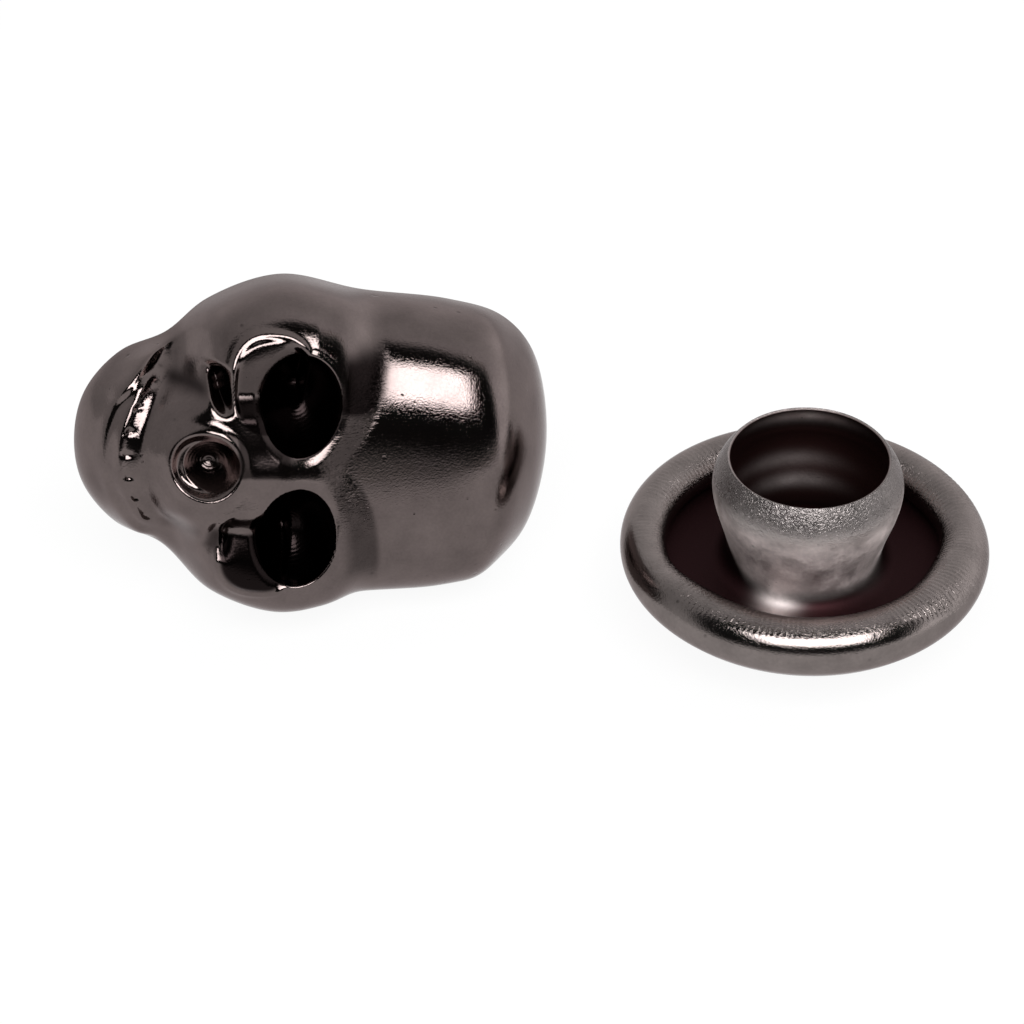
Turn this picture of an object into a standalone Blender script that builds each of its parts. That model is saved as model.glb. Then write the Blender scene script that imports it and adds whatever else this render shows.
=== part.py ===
"""Skull rivet in its two loose halves.

The male half is a cast skull head with a drawn post staked into its back. It lies on its side,
on the edge of its cheekbone and cranium and on the tip of its post. The female half is a domed
shell whose rim is curled over the flange of a barrelled collar. It stands on its dome with the
collar's mouth up. Both are plated black nickel.

The sizes below are millimetres and degrees. In the head's own frame u runs from chin to crown,
v across the face and w out of the face, with the post's axis at u = v = 0 and its back at w = 0.
"""

import math

import bmesh
import bpy
import numpy as np
from mathutils import Matrix, Vector

MM = 0.001

# Seating gap between two pieces that are staked or curled together
CRIMP_GAP = 0.02

# Outline of the head: spans along u, each measured from the one before
CHEEK_BEFORE_POST = 1.00
CHEEK_TO_CHEEK_FRONT = 1.75
CHEEK_FRONT_TO_HOLLOW = 0.95
HOLLOW_TO_JAW = 1.10
JAW_TO_CHIN_CORNER = 0.82
CHIN_CORNER_TO_TIP = 0.23
CHEEK_TO_TEMPLE = 2.00
TEMPLE_TO_CRANIUM = 2.20
CRANIUM_TO_SHOULDER = 1.35
SHOULDER_TO_CROWN_CORNER = 0.85
CROWN_CORNER_TO_TIP = 0.46

# Outline of the head: half widths at those stations
CHIN_CORNER_HALF = 1.15
JAW_HALF = 2.13
HOLLOW_HALF = 2.63
CHEEK_FRONT_HALF = 3.45
CHEEK_HALF = 4.09
TEMPLE_HALF = 3.75
CRANIUM_HALF = 3.54
SHOULDER_HALF = 3.15
CROWN_CORNER_HALF = 2.24

# Heights of the head above its flat back
FACE_HEIGHT = 3.20
BROW_FALL = 0.22
BROW_FALL_LENGTH = 1.70
BROW_FALL_POWER = 1.5
CRANIUM_SLOPE = 0.10
JAW_DROP_BEFORE_CHEEK = 1.20
JAW_DROP = 0.72
JAW_DROP_LENGTH = 2.75

# Fullness of the head's sections: 2 is an ellipse, more is squarer
CHIN_FULLNESS = 2.0
FACE_FULLNESS = 3.5
CRANIUM_FULLNESS = 2.9
CROWN_FULLNESS = 2.3

# Draft of the head's walls, as the share that they lean inwards over their height
CHIN_DRAFT = 0.10
CROWN_DRAFT = 0.19

# Where the sections change from jaw to face and from cranium to crown
FACE_STARTS_AFTER_JAW = 0.60
FACE_BLEND = 1.75
CROWN_STARTS_AFTER_CRANIUM = 0.45
CROWN_BLEND = 1.60
CRANIUM_BLEND = 1.20

# Brow crease, a rounded V that opens from the root of the nose to the temples
CREASE_AFTER_CHEEK = 1.15
CREASE_REACH = 1.20
CREASE_SPREAD = 0.95

# Orbits: a deep drilled pit, a shallow ledge on its chin side and a raised lip around both
LEDGE_TO_OUTLINE = 0.97
LEDGE_BEFORE_CHEEK = 0.45
LEDGE_RADIUS_U = 0.97
LEDGE_RADIUS_V = 1.22
LEDGE_SQUARENESS = 2.5
LEDGE_SLOPE = 0.16
LEDGE_RISE_OUTWARDS = 0.22
LEDGE_STARTS_V = 1.00
LEDGE_FADE_V = 0.90
ORBIT_LEDGE_DEPTH = 0.28
ORBIT_LEDGE_RUN = 0.20
ORBIT_LIP_HEIGHT = 0.09
ORBIT_LIP_WIDTH = 0.12
ORBIT_LIP_OUTSIDE = 0.04
PIT_FROM_LEDGE_U = 0.71
PIT_FROM_LEDGE_V = -0.28
PIT_RADIUS_U = 0.95
PIT_RADIUS_V = 1.23
PIT_DEPTH = 1.45
PIT_STEEPNESS = 0.80

# Nose: a lipped crater with a deeper cone towards the bridge
NOSE_BEFORE_CHEEK = 2.00
NOSE_RADIUS = 0.86
NOSE_LEDGE_DEPTH = 0.25
NOSE_LEDGE_RUN = 0.35
NOSE_LIP_HEIGHT = 0.14
NOSE_LIP_WIDTH = 0.14
NOSE_CONE_SHIFT = 0.24
NOSE_CONE_RADIUS_U = 0.60
NOSE_CONE_RADIUS_V = 0.54
NOSE_CONE_DEPTH = 0.55

# Cheek hollow between the upper jaw and the orbit
HOLLOW_BEFORE_CHEEK = 1.82
HOLLOW_WIDTH = 0.30
HOLLOW_DEPTH = 0.60
HOLLOW_START_V = 1.05
HOLLOW_FADE_V = 0.70
HOLLOW_FLANK_CUT = 0.45
HOLLOW_FLANK_WIDTH = 0.55
HOLLOW_FLANK_SHIFT = 0.20
HOLLOW_FLANK_SHARE = 0.45

# Crescent band of teeth: jaw ridge, tooth ridge, gaps between the teeth and lip groove
TEETH_CURVE = 0.22
TEETH_HALF_ROW = 2.30
TEETH_ROW_FADE = 0.50
JAW_RIDGE_BEHIND_TIP = 0.52
JAW_RIDGE_HEIGHT = 0.10
JAW_RIDGE_WIDTH = 0.12
TOOTH_RIDGE_BEHIND_JAW_RIDGE = 0.37
TOOTH_RIDGE_HEIGHT = 0.17
TOOTH_RIDGE_WIDTH = 0.16
GAP_BEHIND_TOOTH_RIDGE = 0.20
TOOTH_GAP_DEPTH = 0.05
TOOTH_GAP_REACH = 0.12
TOOTH_GAP_SHARPNESS = 6
TOOTH_PITCH = 0.55
GROOVE_BEHIND_TOOTH_RIDGE = 0.52
LIP_GROOVE_DEPTH = 0.16
LIP_GROOVE_WIDTH = 0.24

# Share of the way to the outline where the features fade into the wall
CUT_FEATURES_END = 0.88

# The head's back: a round seat whose edge is staked over the post's flange
STAKE_THICKNESS = 0.22
STAKE_LAP = 0.30

# Post, a closed drawn tube with a flange
POST_RADIUS = 1.65
POST_WALL = 0.28
POST_LENGTH = 5.75
POST_FLANGE_RADIUS = 2.35
POST_FOOT_FILLET = 0.22
POST_TIP_FILLET = 0.55

# Cap shell, a domed disc with its rim curled inwards
CAP_RADIUS = 4.50
CAP_SHEET = 0.25
CURL_RADIUS = 0.57
CURL_CENTRE_HEIGHT = 1.85
CURL_JOIN_ANGLE = -40.0
CURL_END_ANGLE = 215.0

# Collar, a drawn flanged tube with a barrelled chamber under its mouth
COLLAR_SHEET = 0.20
COLLAR_WAIST_RADIUS = 1.90
COLLAR_FOOT_FILLET = 0.40
CHAMBER_RADIUS = 2.31
MOUTH_RADIUS = 1.97
MOUTH_EDGE = 0.08
FOOT_TO_WAIST = 0.36
WAIST_TO_CHAMBER = 1.94
CHAMBER_TO_MOUTH = 0.80

# How the two halves lie: the head's turn about the vertical, and the cap's place from its post
HEAD_YAW = 12.0
CAP_FROM_HEAD_X = 11.70
CAP_FROM_HEAD_Y = -0.46

# Finish
PLATING_COLOUR = (0.135, 0.108, 0.104)
CAST_ROUGHNESS = 0.12
SHEET_ROUGHNESS = 0.20
CAST_SHARP_ANGLE = 50.0
SHEET_SHARP_ANGLE = 35.0

# Fineness of the surfaces
HEAD_STEPS_AROUND = 80
HEAD_RINGS_ON_TOP = 19
HEAD_RINGS_ON_WALL = 7
HEAD_WALL_STARTS = 0.80
HEAD_SPINE_SHARE = 0.55
OUTLINE_STEPS = 40
POST_STEPS_AROUND = 36
SHELL_STEPS_AROUND = 42
COLLAR_STEPS_AROUND = 38
CURL_STEPS = 14
DOME_STEPS = 7
INNER_FILLET_STEPS = 3
FOOT_FILLET_STEPS = 4
TIP_FILLET_STEPS = 5
BARREL_STEPS = 5
MOUTH_STEPS = 4
SECTION_HALVINGS = 30


def ease(x):
    """Smooth step from 0 to 1."""
    x = np.clip(x, 0.0, 1.0)
    return x * x * (3.0 - 2.0 * x)


def bell(distance, width):
    """Smooth bump of height 1 at distance 0."""
    return np.exp(-(distance / width) ** 2)


def head_stations():
    """Places along u that the outline and the features are measured from."""
    cheek = -CHEEK_BEFORE_POST
    front = cheek - CHEEK_TO_CHEEK_FRONT
    hollow = front - CHEEK_FRONT_TO_HOLLOW
    jaw = hollow - HOLLOW_TO_JAW
    chin_corner = jaw - JAW_TO_CHIN_CORNER
    temple = cheek + CHEEK_TO_TEMPLE
    cranium = temple + TEMPLE_TO_CRANIUM
    shoulder = cranium + CRANIUM_TO_SHOULDER
    crown_corner = shoulder + SHOULDER_TO_CROWN_CORNER
    return {
        "chin_tip": chin_corner - CHIN_CORNER_TO_TIP,
        "chin_corner": chin_corner,
        "jaw": jaw,
        "hollow": hollow,
        "cheek_front": front,
        "cheek": cheek,
        "temple": temple,
        "cranium": cranium,
        "shoulder": shoulder,
        "crown_corner": crown_corner,
        "crown_tip": crown_corner + CROWN_CORNER_TO_TIP,
    }


def smooth_loop(points, steps):
    """Points on a centripetal Catmull-Rom curve through a closed loop of points."""
    points = np.array(points, float)
    count = len(points)
    curve = []
    for i in range(count):
        a, b, c, d = (points[(i + k - 1) % count] for k in range(4))
        t1 = np.linalg.norm(b - a) ** 0.5
        t2 = t1 + np.linalg.norm(c - b) ** 0.5
        t3 = t2 + np.linalg.norm(d - c) ** 0.5
        for t in np.linspace(t1, t2, steps, endpoint=False):
            ab = (t1 - t) / t1 * a + t / t1 * b
            bc = (t2 - t) / (t2 - t1) * b + (t - t1) / (t2 - t1) * c
            cd = (t3 - t) / (t3 - t2) * c + (t - t2) / (t3 - t2) * d
            abc = (t2 - t) / t2 * ab + t / t2 * bc
            bcd = (t3 - t) / (t3 - t1) * bc + (t - t1) / (t3 - t1) * cd
            curve.append((t2 - t) / (t2 - t1) * abc + (t - t1) / (t2 - t1) * bcd)
    return np.array(curve)


def head_outline(count):
    """Evenly spaced points around the head's back, from the chin's tip over the +v side."""
    at = head_stations()
    half = [
        (at["chin_tip"], 0.0),
        (at["chin_corner"], CHIN_CORNER_HALF),
        (at["jaw"], JAW_HALF),
        (at["hollow"], HOLLOW_HALF),
        (at["cheek_front"], CHEEK_FRONT_HALF),
        (at["cheek"], CHEEK_HALF),
        (at["temple"], TEMPLE_HALF),
        (at["cranium"], CRANIUM_HALF),
        (at["shoulder"], SHOULDER_HALF),
        (at["crown_corner"], CROWN_CORNER_HALF),
        (at["crown_tip"], 0.0),
    ]
    mirrored = [(u, -v) for u, v in reversed(half[1:-1])]
    curve = smooth_loop(half + mirrored, OUTLINE_STEPS)
    closed = np.vstack([curve, curve[:1]])
    lengths = np.linalg.norm(np.diff(closed, axis=0), axis=1)
    along = np.concatenate([[0.0], np.cumsum(lengths)])
    wanted = np.arange(count) / count * along[-1]
    return np.stack([np.interp(wanted, along, closed[:, k]) for k in (0, 1)], axis=1)


def crease_line(v, cheek):
    """Where the brow crease runs along u, at each place across the face."""
    start = cheek + CREASE_AFTER_CHEEK
    return start + CREASE_REACH * (1.0 - np.exp(-np.abs(v) / CREASE_SPREAD))


def section_height(share, fullness, draft):
    """Height share of a section that is full at its top and leans inwards along its wall."""
    low, high = np.zeros_like(share), np.ones_like(share)
    for _ in range(SECTION_HALVINGS):
        middle = 0.5 * (low + high)
        reach = np.maximum(1.0 - middle ** fullness, 0.0) ** (1.0 / fullness)
        inside = reach * (1.0 - draft * middle) > share
        low = np.where(inside, middle, low)
        high = np.where(inside, high, middle)
    return low


def base_height(u, v, share, at):
    """The skull without its features. share is 1 on the outline and 0 on the middle line."""
    crown = ease((u - at["cranium"] - CROWN_STARTS_AFTER_CRANIUM) / CROWN_BLEND)
    face = ease((u - at["jaw"] - FACE_STARTS_AFTER_JAW) / FACE_BLEND)
    fullness = CHIN_FULLNESS + (FACE_FULLNESS - CHIN_FULLNESS) * face
    behind = u - crease_line(v, at["cheek"])
    cranium = ease(behind / CRANIUM_BLEND)
    fullness = fullness + (CRANIUM_FULLNESS - FACE_FULLNESS) * cranium
    fullness = fullness + (CROWN_FULLNESS - CRANIUM_FULLNESS) * crown
    draft = CHIN_DRAFT * (1.0 - face) + CROWN_DRAFT * crown
    fall = np.clip(behind / BROW_FALL_LENGTH + 1.0, 0.0, 1.0) ** BROW_FALL_POWER
    rise = CRANIUM_SLOPE * np.maximum(behind, 0.0) - BROW_FALL * fall
    before = at["cheek"] - JAW_DROP_BEFORE_CHEEK - u
    drop = JAW_DROP * ease(before / JAW_DROP_LENGTH)
    flank = bell(u - at["hollow"] - HOLLOW_FLANK_SHIFT, HOLLOW_FLANK_WIDTH)
    flank = flank * ease((share - HOLLOW_FLANK_SHARE) / HOLLOW_FLANK_SHARE)
    top = (FACE_HEIGHT + rise - drop) * (1.0 - HOLLOW_FLANK_CUT * flank)
    return top * section_height(share, fullness, draft)


def crater(radius_share, size, ledge, lip_height, lip_width):
    """A raised lip at radius_share 1 and a shallow ledge inside it, as (depth, run)."""
    depth, run = ledge
    lip = lip_height * bell((radius_share - 1.0) * size, lip_width)
    return lip - depth * ease((1.0 - radius_share) / run)


def bowl(radius_share, depth):
    """A deep round-bottomed pit."""
    return -depth * np.maximum(1.0 - radius_share ** 2, 0.0) ** PIT_STEEPNESS


def orbit_relief(u, v, at):
    """Both eye sockets."""
    along = u - (at["cheek"] - LEDGE_BEFORE_CHEEK)
    across = np.abs(v) - (CHEEK_HALF - LEDGE_TO_OUTLINE - LEDGE_RADIUS_V)
    square = LEDGE_SQUARENESS
    ledge = np.abs(along / LEDGE_RADIUS_U) ** square + np.abs(across / LEDGE_RADIUS_V) ** square
    ledge = ledge ** (1.0 / square)
    pit_along = (along - PIT_FROM_LEDGE_U) / PIT_RADIUS_U
    pit = np.hypot(pit_along, (across - PIT_FROM_LEDGE_V) / PIT_RADIUS_V)
    outside = (np.minimum(ledge, pit) - 1.0) * LEDGE_RADIUS_V
    lip = ORBIT_LIP_HEIGHT * bell(outside - ORBIT_LIP_OUTSIDE, ORBIT_LIP_WIDTH)
    floor = ORBIT_LEDGE_DEPTH + LEDGE_SLOPE * along - LEDGE_RISE_OUTWARDS * across
    floor = floor * ease((1.0 - ledge) / ORBIT_LEDGE_RUN)
    outer_side = ease((np.abs(v) - LEDGE_STARTS_V) / LEDGE_FADE_V)
    return (lip - floor) * outer_side + bowl(pit, PIT_DEPTH)


def nose_relief(u, v, at):
    """The nose crater and its cone."""
    along = u - (at["cheek"] - NOSE_BEFORE_CHEEK)
    ring = np.hypot(along, v) / NOSE_RADIUS
    cone = np.hypot((along - NOSE_CONE_SHIFT) / NOSE_CONE_RADIUS_U, v / NOSE_CONE_RADIUS_V)
    ledge = (NOSE_LEDGE_DEPTH, NOSE_LEDGE_RUN)
    rim = crater(ring, NOSE_RADIUS, ledge, NOSE_LIP_HEIGHT, NOSE_LIP_WIDTH)
    return rim + bowl(cone, NOSE_CONE_DEPTH)


def hollow_relief(u, v, at):
    """The hollow in front of each cheekbone."""
    middle = at["cheek"] - HOLLOW_BEFORE_CHEEK
    side = ease((np.abs(v) - HOLLOW_START_V) / HOLLOW_FADE_V)
    return -HOLLOW_DEPTH * bell(u - middle, HOLLOW_WIDTH) * side


def teeth_relief(u, v, at):
    """The crescent band of teeth: two ridges, the gaps between the teeth and the lip groove."""
    jaw = u - (at["chin_tip"] + JAW_RIDGE_BEHIND_TIP + TEETH_CURVE * v * v)
    tooth = jaw - TOOTH_RIDGE_BEHIND_JAW_RIDGE
    ridges = JAW_RIDGE_HEIGHT * bell(jaw, JAW_RIDGE_WIDTH)
    ridges = ridges + TOOTH_RIDGE_HEIGHT * bell(tooth, TOOTH_RIDGE_WIDTH)
    nick = (0.5 + 0.5 * np.cos(2.0 * math.pi * v / TOOTH_PITCH)) ** TOOTH_GAP_SHARPNESS
    gaps = TOOTH_GAP_DEPTH * nick * bell(tooth - GAP_BEHIND_TOOTH_RIDGE, TOOTH_GAP_REACH)
    groove = LIP_GROOVE_DEPTH * bell(tooth - GROOVE_BEHIND_TOOTH_RIDGE, LIP_GROOVE_WIDTH)
    side = 1.0 - ease((np.abs(v) - TEETH_HALF_ROW) / TEETH_ROW_FADE)
    return (ridges - gaps - groove) * side


def face_height(u, v, share):
    """Height of the finished face above the back."""
    at = head_stations()
    low = 1.0 - ease((share - CUT_FEATURES_END) / (1.0 - CUT_FEATURES_END))
    height = base_height(u, v, share, at)
    height = height + (hollow_relief(u, v, at) + teeth_relief(u, v, at)) * low
    height = height + orbit_relief(u, v, at) * low
    height = height + nose_relief(u, v, at)
    return np.maximum(height, 0.0)


def head_shares():
    """Ring positions of the head, from its middle line out to its outline."""
    top = np.linspace(0.0, HEAD_WALL_STARTS, HEAD_RINGS_ON_TOP + 1)
    power = CRANIUM_FULLNESS / 2.0
    start = math.acos(HEAD_WALL_STARTS ** power)
    turns = start * (1.0 - np.arange(1, HEAD_RINGS_ON_WALL + 1) / HEAD_RINGS_ON_WALL)
    return np.concatenate([top, np.cos(turns) ** (1.0 / power)])


def loft(rows, closed_rows=False, start_pole=None, end_pole=None):
    """A mesh through rings of points, given in millimetres, with a fan at each pole."""
    bm = bmesh.new()
    rings = [[bm.verts.new(Vector(p) * MM) for p in row] for row in rows]
    pairs = list(zip(rings, rings[1:]))
    if closed_rows:
        pairs.append((rings[-1], rings[0]))
    for lower, upper in pairs:
        steps = len(lower)
        for i in range(steps):
            j = (i + 1) % steps
            bm.faces.new((lower[i], lower[j], upper[j], upper[i]))
    for ring, pole in ((rings[0], start_pole), (rings[-1], end_pole)):
        if pole is not None:
            tip = bm.verts.new(Vector(pole) * MM)
            for i in range(len(ring)):
                bm.faces.new((ring[i], ring[(i + 1) % len(ring)], tip))
    return bm


def finish(bm, name, roughness, parent, sharp_angle=SHEET_SHARP_ANGLE):
    """Turn a closed bmesh into a named, smooth-shaded object with its plating."""
    bmesh.ops.recalc_face_normals(bm, faces=bm.faces)
    if bm.calc_volume(signed=True) < 0.0:
        bmesh.ops.reverse_faces(bm, faces=bm.faces)
    mesh = bpy.data.meshes.new(name)
    bm.to_mesh(mesh)
    bm.free()
    mesh.shade_smooth()
    mesh.set_sharp_from_angle(angle=math.radians(sharp_angle))
    mesh.materials.append(plating(name + "_plating", roughness))
    obj = bpy.data.objects.new(name, mesh)
    bpy.context.scene.collection.objects.link(obj)
    obj.parent = parent
    return obj


def plating(name, roughness):
    """Black nickel plating."""
    material = bpy.data.materials.new(name)
    material.use_nodes = True
    shader = material.node_tree.nodes["Principled BSDF"]
    shader.inputs["Base Color"].default_value = (*PLATING_COLOUR, 1.0)
    shader.inputs["Metallic"].default_value = 1.0
    shader.inputs["Roughness"].default_value = roughness
    return material


def circle(radius, height, steps):
    """A ring of points about the axis, starting on the -X side and turning over +Y."""
    turns = [math.pi - 2.0 * math.pi * i / steps for i in range(steps)]
    return [(radius * math.cos(t), radius * math.sin(t), height) for t in turns]


def arc(centre, radius, start, end, steps):
    """Profile points (radius, height) on an arc, with its angles in degrees from +radius."""
    turns = np.radians(np.linspace(start, end, steps + 1))
    return [(centre[0] + radius * math.cos(t), centre[1] + radius * math.sin(t)) for t in turns]


def seat_depth():
    """Depth of the seat in the head's back, from the back face to the seat's floor."""
    return STAKE_THICKNESS + CRIMP_GAP + POST_WALL + CRIMP_GAP


def skull_head(parent):
    """The cast skull with the staked seat in its flat back."""
    steps = HEAD_STEPS_AROUND
    outline = head_outline(steps)
    spine = np.stack([outline[:, 0] * HEAD_SPINE_SHARE, np.zeros(steps)], axis=1)
    bm = bmesh.new()
    rings = []
    for share in head_shares()[1:]:
        plan = spine + (outline - spine) * share
        height = face_height(plan[:, 0], plan[:, 1], np.full(steps, share))
        rings.append([bm.verts.new(Vector((u, v, w)) * MM) for (u, v), w in zip(plan, height)])
    zero = np.zeros(steps)
    crest = face_height(spine[:, 0], spine[:, 1], zero)
    half = steps // 2
    middle = [bm.verts.new(Vector((spine[i, 0], 0.0, crest[i])) * MM) for i in range(half + 1)]
    inner = [middle[min(i, steps - i)] for i in range(steps)]
    seat_radius = POST_FLANGE_RADIUS + CRIMP_GAP
    stake_radius = POST_FLANGE_RADIUS - STAKE_LAP
    seat = [
        (stake_radius, 0.0),
        (stake_radius, STAKE_THICKNESS),
        (seat_radius, STAKE_THICKNESS),
        (seat_radius, seat_depth()),
    ]
    for radius, height in seat:
        rings.append([bm.verts.new(Vector(p) * MM) for p in circle(radius, height, steps)])
    floor = bm.verts.new(Vector((0.0, 0.0, seat_depth())) * MM)
    for lower, upper in zip([inner] + rings, rings):
        for i in range(steps):
            j = (i + 1) % steps
            corners = [lower[i], lower[j], upper[j], upper[i]]
            bm.faces.new(list(dict.fromkeys(corners)))
    seat_ring = rings[-1]
    for i in range(steps):
        bm.faces.new((seat_ring[i], seat_ring[(i + 1) % steps], floor))
    return finish(bm, "skull_head", CAST_ROUGHNESS, parent, sharp_angle=CAST_SHARP_ANGLE)


def post_profile():
    """Post section as (radius, depth below the head's back), inside first, then outside."""
    flange_top = -(seat_depth() - CRIMP_GAP)
    flange_under = flange_top + POST_WALL
    bore = POST_RADIUS - POST_WALL
    inner_tip = POST_TIP_FILLET - POST_WALL
    inside_end = POST_LENGTH - POST_WALL
    inside = [(bore, inside_end - inner_tip)]
    inner_centre = (bore - inner_tip, inside_end - inner_tip)
    inside += arc(inner_centre, inner_tip, 0.0, 90.0, INNER_FILLET_STEPS)[1:]
    foot = (POST_RADIUS + POST_FOOT_FILLET, flange_under + POST_FOOT_FILLET)
    outside = [(POST_FLANGE_RADIUS, flange_top), (POST_FLANGE_RADIUS, flange_under)]
    outside += arc(foot, POST_FOOT_FILLET, -90.0, -180.0, FOOT_FILLET_STEPS)
    tip = (POST_RADIUS - POST_TIP_FILLET, POST_LENGTH - POST_TIP_FILLET)
    outside += arc(tip, POST_TIP_FILLET, 0.0, 90.0, TIP_FILLET_STEPS)
    return inside[::-1] + [(bore, flange_top)], outside


def rivet_post(parent):
    """The drawn post, closed at its tip and open at its flange."""
    inside, outside = post_profile()
    rows = [circle(radius, -depth, POST_STEPS_AROUND) for radius, depth in inside + outside]
    inner_pole = (0.0, 0.0, -(POST_LENGTH - POST_WALL))
    bm = loft(rows, start_pole=inner_pole, end_pole=(0.0, 0.0, -POST_LENGTH))
    return finish(bm, "rivet_post", SHEET_ROUGHNESS, parent)


def dome_arc(join, slope, steps):
    """Ellipse points from the axis to a joint of given slope, with a level start at height 0."""
    cosine = join[1] / (slope * join[0] - join[1])
    sine = math.sqrt(1.0 - cosine * cosine)
    rise = join[1] / (1.0 - cosine)
    reach = join[0] / sine
    turns = np.linspace(0.0, math.atan2(sine, cosine), steps + 1)[1:-1]
    return [(reach * math.sin(t), rise * (1.0 - math.cos(t))) for t in turns]


def offset_inwards(profile, thickness):
    """The same profile moved to its left by the sheet's thickness."""
    points = np.array(profile, float)
    tangent = np.gradient(points, axis=0)
    tangent /= np.linalg.norm(tangent, axis=1)[:, None]
    normal = np.stack([-tangent[:, 1], tangent[:, 0]], axis=1)
    return [tuple(p) for p in points + normal * thickness]


def shell_profiles():
    """Outer and inner face of the cap's sheet as (radius, height above the dome's crown)."""
    centre = (CAP_RADIUS - CURL_RADIUS, CURL_CENTRE_HEIGHT)
    curl = arc(centre, CURL_RADIUS, CURL_JOIN_ANGLE, CURL_END_ANGLE, CURL_STEPS)
    slope = -1.0 / math.tan(math.radians(CURL_JOIN_ANGLE))
    outer = dome_arc(curl[0], slope, DOME_STEPS) + curl
    return outer, offset_inwards(outer, CAP_SHEET)


def cap_shell(parent):
    """The domed shell with its curled rim."""
    outer, inner = shell_profiles()
    profile = inner + outer[::-1]
    rows = [circle(radius, height, SHELL_STEPS_AROUND) for radius, height in profile]
    bm = loft(rows, start_pole=(0.0, 0.0, CAP_SHEET), end_pole=(0.0, 0.0, 0.0))
    return finish(bm, "cap_shell", SHEET_ROUGHNESS, parent)


def flange_seat():
    """Top height and outer radius of the collar's flange, trapped between curl and dome."""
    outer, inner = shell_profiles()
    top = min(outer[-1][1], inner[-1][1]) - CRIMP_GAP
    under = top - COLLAR_SHEET
    radii, heights = zip(*inner[:DOME_STEPS])
    return top, float(np.interp(under - CRIMP_GAP, heights, radii)) - CRIMP_GAP


def collar_profile():
    """Outer face of the collar from its flange's rim to its mouth, as (radius, height)."""
    top, rim = flange_seat()
    fillet = COLLAR_FOOT_FILLET
    waist = top + FOOT_TO_WAIST
    chamber = waist + WAIST_TO_CHAMBER
    mouth = chamber + CHAMBER_TO_MOUTH
    points = [(rim, top)]
    foot = (COLLAR_WAIST_RADIUS + fillet, top + fillet)
    points += arc(foot, fillet, -90.0, -180.0, FOOT_FILLET_STEPS)
    swell = CHAMBER_RADIUS - COLLAR_WAIST_RADIUS
    for t in np.linspace(0.0, 1.0, BARREL_STEPS + 1)[1:]:
        points.append((COLLAR_WAIST_RADIUS + swell * ease(t), waist + (chamber - waist) * t))
    closing = CHAMBER_RADIUS - MOUTH_RADIUS
    for t in np.linspace(0.0, 1.0, MOUTH_STEPS + 1)[1:]:
        points.append((CHAMBER_RADIUS - closing * t * t, chamber + (mouth - chamber) * t))
    return points


def cap_collar(parent):
    """The drawn collar that takes the post."""
    outer = collar_profile()
    inner = offset_inwards(outer, COLLAR_SHEET)
    top, rim = flange_seat()
    inner[0] = (rim, top - COLLAR_SHEET)
    inner[-1] = (MOUTH_RADIUS - MOUTH_EDGE, outer[-1][1] - 0.5 * MOUTH_EDGE)
    profile = outer + inner[::-1]
    rows = [circle(radius, height, COLLAR_STEPS_AROUND) for radius, height in profile]
    return finish(loft(rows, closed_rows=True), "cap_collar", SHEET_ROUGHNESS, parent)


def resting_edge():
    """Ends of the straight line that the -v side of the outline lies on, below the post."""
    near = sorted((u, v) for u, v in head_outline(HEAD_STEPS_AROUND) if v < 0.0)
    hull = []
    for point in near:
        while len(hull) > 1:
            (au, av), (bu, bv) = hull[-2:]
            if (bu - au) * (point[1] - av) - (bv - av) * (point[0] - au) > 0.0:
                break
            hull.pop()
        hull.append(point)
    for start, end in zip(hull, hull[1:]):
        if start[0] <= 0.0 <= end[0]:
            return np.array(start), np.array(end)
    raise ValueError("the outline has no edge below the post")


def lying_matrix():
    """Pose of the head on the floor: yaw, lean on the post's tip, and roll onto its edge."""
    start, end = resting_edge()
    along = (end - start) / np.linalg.norm(end - start)
    roll = math.atan2(along[1], along[0])
    reach = abs(start[0] * along[1] - start[1] * along[0])
    post = [point for point in post_profile()[1] if point[1] > 0.0]
    lean = max(math.atan2(depth, reach - radius) for radius, depth in post)
    to_floor = Matrix.Rotation(-roll, 4, "Z")
    lift = Matrix.Translation((0.0, reach * MM, 0.0))
    tip = Matrix.Rotation(lean, 4, "X")
    return Matrix.Rotation(math.radians(HEAD_YAW), 4, "Z") @ tip @ lift @ to_floor


def holder(name, matrix):
    """An empty that places one half of the rivet."""
    empty = bpy.data.objects.new(name, None)
    bpy.context.scene.collection.objects.link(empty)
    empty.matrix_world = matrix
    return empty


def centre_on_floor(objects, holders):
    """Move both halves so that the origin is the middle of the underside of their box."""
    bpy.context.view_layer.update()
    corners = np.array([obj.matrix_world @ v.co for obj in objects for v in obj.data.vertices])
    low, high = corners.min(axis=0), corners.max(axis=0)
    shift = Vector((-(low[0] + high[0]) / 2.0, -(low[1] + high[1]) / 2.0, 0.0))
    for empty in holders:
        empty.location = empty.location + shift
    bpy.context.view_layer.update()


def main():
    """Build the four pieces and lay the two halves down."""
    for obj in list(bpy.data.objects):
        bpy.data.objects.remove(obj, do_unlink=True)
    head = holder("head_half", lying_matrix())
    cap = holder("cap_half", Matrix.Translation((CAP_FROM_HEAD_X * MM, CAP_FROM_HEAD_Y * MM, 0.0)))
    pieces = [skull_head(head), rivet_post(head), cap_shell(cap), cap_collar(cap)]
    centre_on_floor(pieces, (head, cap))


main()
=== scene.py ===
"""Looks of a skull rivet in its two loose halves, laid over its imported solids.

The skull half is a polished casting with a drawn post at its back. The cap half is a drawn shell
whose rim is curled over the flange of a barrelled collar. Both are plated black nickel.

Sizes are millimetres and degrees unless a name says otherwise. In the skull's own frame u runs
from chin to crown, v across the face and w out of the face, with its back at w = 0.
"""

import logging
import math
from dataclasses import dataclass, field
from enum import Enum

import bmesh
import bpy
import numpy as np
from mathutils import Matrix, Vector


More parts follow.
